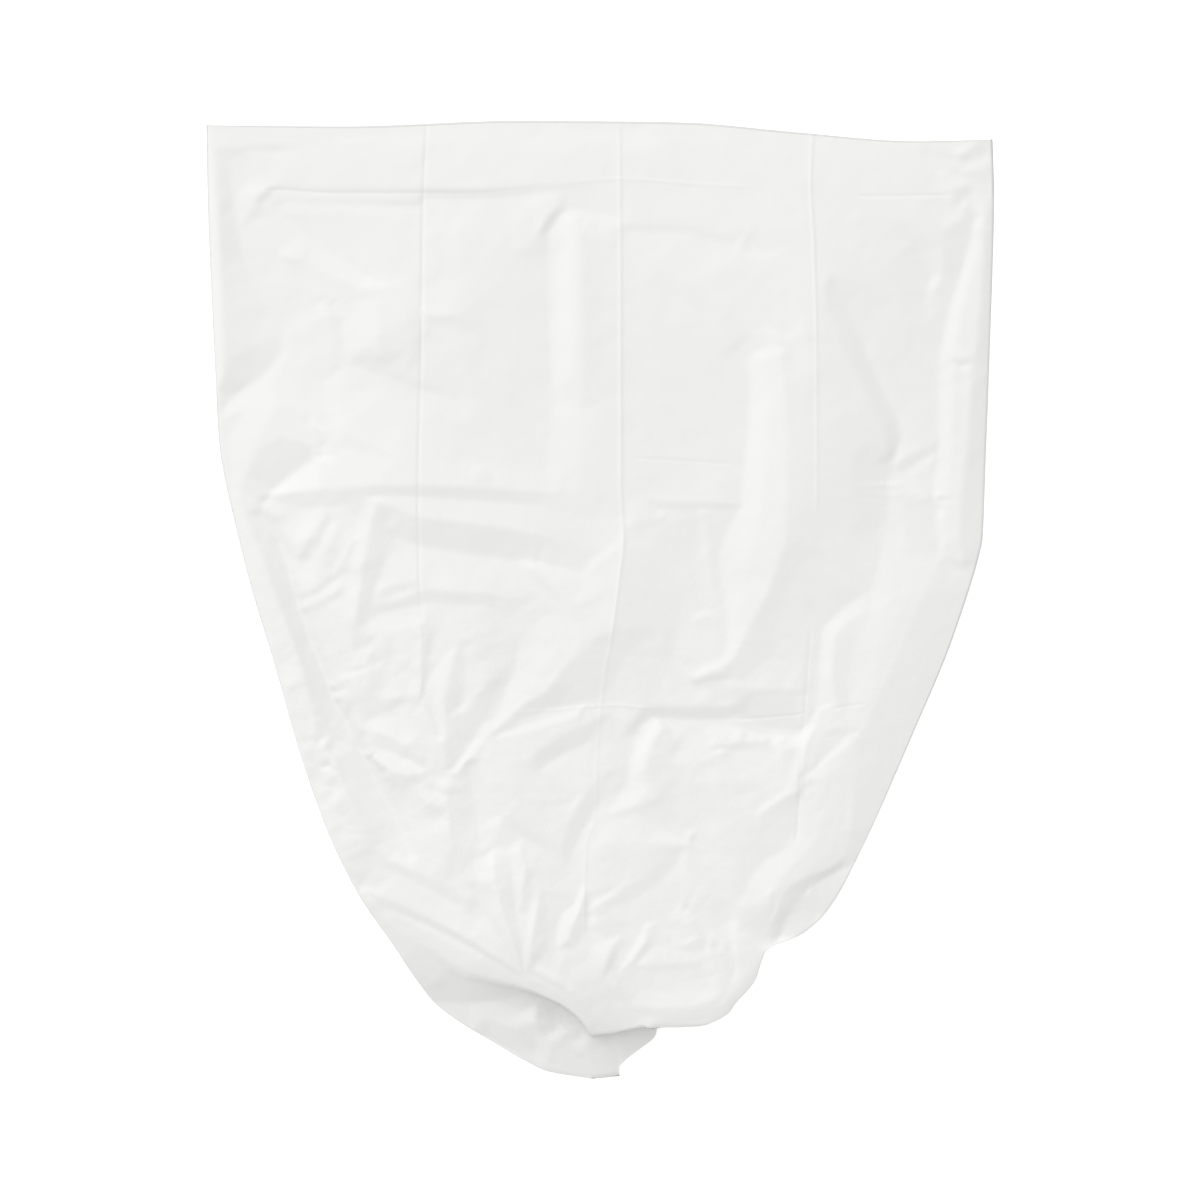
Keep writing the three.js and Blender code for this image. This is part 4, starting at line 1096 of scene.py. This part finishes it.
for column, press in zip(crease_columns, LONG_CREASE_PRESS):
    along = through(press)
    film_z[:, column] += along(-film_y[:, column])
for drop, press in zip(crease_drops, CROSS_CREASE_PRESS):
    row = int(np.argmin(np.abs(drops - drop)))
    film_z[row] += through(press)(film_x[row])
film_z = np.maximum(film_z, FILM_LOWEST)
print("creases pressed in", len(crease_columns), "columns and", len(crease_drops), "rows")

# %% Work out the back film
BACK_LIP = 2.0
LIP_LENGTH = 14
LIP_ROUNDING = .25
BACK_REST = 0.15
LOWEST_TUCK = 2

even = np.linspace(0, 1, BACK_COLUMNS + 1)
back_shares = np.tile((1 - np.cos(np.pi * even)) / 2, (len(numbers), 1))
back_x, back_y = plan_of(back_shares)
lip_across = np.sin(np.pi * np.clip(front_shares, 0, 1)) ** LIP_ROUNDING
film_y -= BACK_LIP * np.exp(-(drops / LIP_LENGTH) ** 2)[:, None] * lip_across
edge_height = film_z[:, :1] * (1 - back_shares) + film_z[:, -1:] * back_shares
back_near = np.minimum(distance_to(left_line, back_x, back_y), distance_to(right_line, back_x, back_y))
tuck = np.clip(back_near / np.maximum(edge_height, LOWEST_TUCK), 0, 1)
back_z = BACK_REST + (edge_height - BACK_REST) * (1 - np.sqrt(1 - (1 - tuck) ** 2))
back_z[:, 0] = film_z[:, 0]
back_z[:, -1] = film_z[:, -1]
nearest = np.abs(front_shares[-1][:, None] - back_shares[-1][None, :]).argmin(axis=1)
for front, back in ((film_x, back_x), (film_y, back_y), (film_z, back_z)):
    front[-1] = back[-1, nearest]
print("back film rests at", round(float(back_z.min()), 2), "mm")

# %% Build and weld the two films
WELD_DISTANCE = 0.02


def film_grid(bm, x, y, z, flip):
    """One grid of film, laid out by arrays of places in millimetres."""
    rows, columns = x.shape
    made = bmesh.ops.create_grid(bm, x_segments=columns - 1, y_segments=rows - 1, size=1)["verts"]
    for vertex in made:
        column = round((vertex.co.x + 1) / 2 * (columns - 1))
        row = round((1 - vertex.co.y) / 2 * (rows - 1))
        vertex.co = (x[row, column] * MM, y[row, column] * MM, z[row, column] * MM)
    if flip:
        faces = list({face for vertex in made for face in vertex.link_faces})
        bmesh.ops.reverse_faces(bm, faces=faces)
    return made


bm = bmesh.new()
film_grid(bm, film_x, film_y, film_z, False)
film_grid(bm, back_x, back_y, back_z, True)
bmesh.ops.remove_doubles(bm, verts=bm.verts, dist=WELD_DISTANCE * MM)
film_mesh = bpy.data.meshes.new("liner_film")
bm.to_mesh(film_mesh)
bm.free()
for polygon in film_mesh.polygons:
    polygon.use_smooth = True
film = bpy.data.objects.new("liner_film", film_mesh)
bpy.context.collection.objects.link(film)
print(len(film_mesh.vertices), "vertices and", len(film_mesh.polygons), "faces")

# %% [markdown]
# ## The film's material
#
# The film is low-density polyethylene with white pigment, blown as a bubble and wound. Blowing gives it a
# smooth, softly glossy skin, and pigment makes it a milky white that light gets into, so its shadows are
# pale. The finest handling marks are under a millimetre deep and a few millimetres across, so they are bump
# in the material: a soft noise all over, and a net of shallow facets about a centimetre wide, which is
# weaker where the film lies taut near the mouth.

# %% Helpers for colours and nodes
def linear(hex_colour):
    """An sRGB hex colour as linear red, green, blue and full alpha."""
    channels = [int(hex_colour[i:i + 2], 16) / 255 for i in (0, 2, 4)]
    return [c / 12.92 if c <= .04045 else ((c + .055) / 1.055) ** 2.4 for c in channels] + [1]


def add_node(tree, kind, settings=(), inputs=(), links=()):
    """Adds a node with its settings and input values, and links its inputs from other nodes' outputs."""
    node = tree.nodes.new(kind)
    for name, value in dict(settings).items():
        setattr(node, name, value)
    for name, value in dict(inputs).items():
        node.inputs[name].default_value = value
    for name, source in dict(links).items():
        tree.links.new(source, node.inputs[name])
    return node


def new_material(name):
    """An empty node material and its output node."""
    material = bpy.data.materials.new(name)
    material.use_nodes = True
    material.node_tree.nodes.clear()
    return material, add_node(material.node_tree, "ShaderNodeOutputMaterial")


# %% Make the film's material
MARK_SIZE = 9  # in millimetres, as all sizes, depths and places here
MARK_DEPTH = .25
MARK_STRENGTH = .12
FACET_SIZE = 13
FACET_DEPTH = .32
FACET_DRIFT = 8
DRIFT_SIZE = 30
TAUT_PLACE = 160
LOOSE_PLACE = -60
TAUT_STRENGTH = .3


def white_polyethylene_film():
    """Pigmented blown film: milky white, soft gloss, with fine handling marks."""
    material, output = new_material("white_polyethylene_film")
    tree = material.node_tree
    place = add_node(tree, "ShaderNodeTexCoord")
    marks = add_node(tree, "ShaderNodeTexNoise",
                     inputs={"Scale": 1 / (MARK_SIZE * MM), "Detail": 3, "Roughness": .55},
                     links={"Vector": place.outputs["Object"]})
    bump = add_node(tree, "ShaderNodeBump", inputs={"Strength": MARK_STRENGTH, "Distance": MARK_DEPTH * MM},
                    links={"Height": marks.outputs["Fac"]})
    drift = add_node(tree, "ShaderNodeTexNoise", inputs={"Scale": 1 / (DRIFT_SIZE * MM), "Detail": 2},
                     links={"Vector": place.outputs["Object"]})
    moved = add_node(tree, "ShaderNodeVectorMath", settings={"operation": "MULTIPLY_ADD"},
                     inputs={1: [FACET_DRIFT * MM] * 3},
                     links={0: drift.outputs["Color"], 2: place.outputs["Object"]})
    facets = add_node(tree, "ShaderNodeTexVoronoi", settings={"feature": "DISTANCE_TO_EDGE"},
                      inputs={"Scale": 1 / (FACET_SIZE * MM), "Detail": 1, "Roughness": .6},
                      links={"Vector": moved.outputs["Vector"]})
    sides = add_node(tree, "ShaderNodeSeparateXYZ", links={"Vector": place.outputs["Object"]})
    handled = add_node(tree, "ShaderNodeMapRange",
                       inputs={"From Min": TAUT_PLACE * MM, "From Max": LOOSE_PLACE * MM,
                               "To Min": TAUT_STRENGTH, "To Max": 1},
                       links={"Value": sides.outputs["Y"]})
    creased = add_node(tree, "ShaderNodeBump", inputs={"Distance": FACET_DEPTH * MM},
                       links={"Height": facets.outputs["Distance"], "Strength": handled.outputs["Result"],
                              "Normal": bump.outputs["Normal"]})
    skin = add_node(tree, "ShaderNodeBsdfPrincipled",
                    inputs={"Base Color": linear("E9E9E7"), "Roughness": .34, "IOR": 1.51},
                    links={"Normal": creased.outputs["Normal"]})
    tree.links.new(skin.outputs["BSDF"], output.inputs["Surface"])
    return material


film_mesh.materials.append(white_polyethylene_film())
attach(film, "root")
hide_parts("liner")
print("material:", film_mesh.materials[0].name)

# %% [markdown]
# ## The floor and the light
#
# The photograph has a plain white floor, brighter than the bag. The light is soft and comes from beyond the
# mouth, a little from the left, so slopes that face the seal are darker and slopes that face the mouth are
# brighter. A pale surround fills the shade.

# %% Lay the floor
FLOOR_SIZE = 40.0
TABLE_GLOW = .38
floor_mesh = bpy.data.meshes.new("studio_floor")
bm = bmesh.new()
bmesh.ops.create_grid(bm, x_segments=1, y_segments=1, size=FLOOR_SIZE / 2)
bm.to_mesh(floor_mesh)
bm.free()
floor = bpy.data.objects.new("studio_floor", floor_mesh)
bpy.context.collection.objects.link(floor)


def lit_white_table():
    """A white acrylic table top, lit a little from below, as for product pictures."""
    material, output = new_material("lit_white_table")
    tree = material.node_tree
    top = add_node(tree, "ShaderNodeBsdfPrincipled",
                   inputs={"Base Color": linear("F4F4F4"), "Roughness": .6,
                           "Emission Color": linear("FFFFFF"), "Emission Strength": TABLE_GLOW})
    tree.links.new(top.outputs["BSDF"], output.inputs["Surface"])
    return material


floor_mesh.materials.append(lit_white_table())
print("floor:", FLOOR_SIZE, "m across")


# %% Set the lights
TOWARDS_KEY = (-0.6, 0.8, 1.0)
KEY_STRENGTH = 1.65
KEY_ANGLE = 80
SURROUND = .655

key_data = bpy.data.lights.new("key_light", "SUN")
key_data.energy = KEY_STRENGTH
key_data.angle = math.radians(KEY_ANGLE)
key = bpy.data.objects.new("key_light", key_data)
key.rotation_euler = (-Vector(TOWARDS_KEY)).to_track_quat("-Z", "Y").to_euler()
bpy.context.collection.objects.link(key)
world = bpy.data.worlds.new("studio_surround")
world.use_nodes = True
world.node_tree.nodes["Background"].inputs["Color"].default_value = linear("FFFFFF")
world.node_tree.nodes["Background"].inputs["Strength"].default_value = SURROUND
bpy.context.scene.world = world
bpy.context.scene.view_settings.view_transform = "Standard"
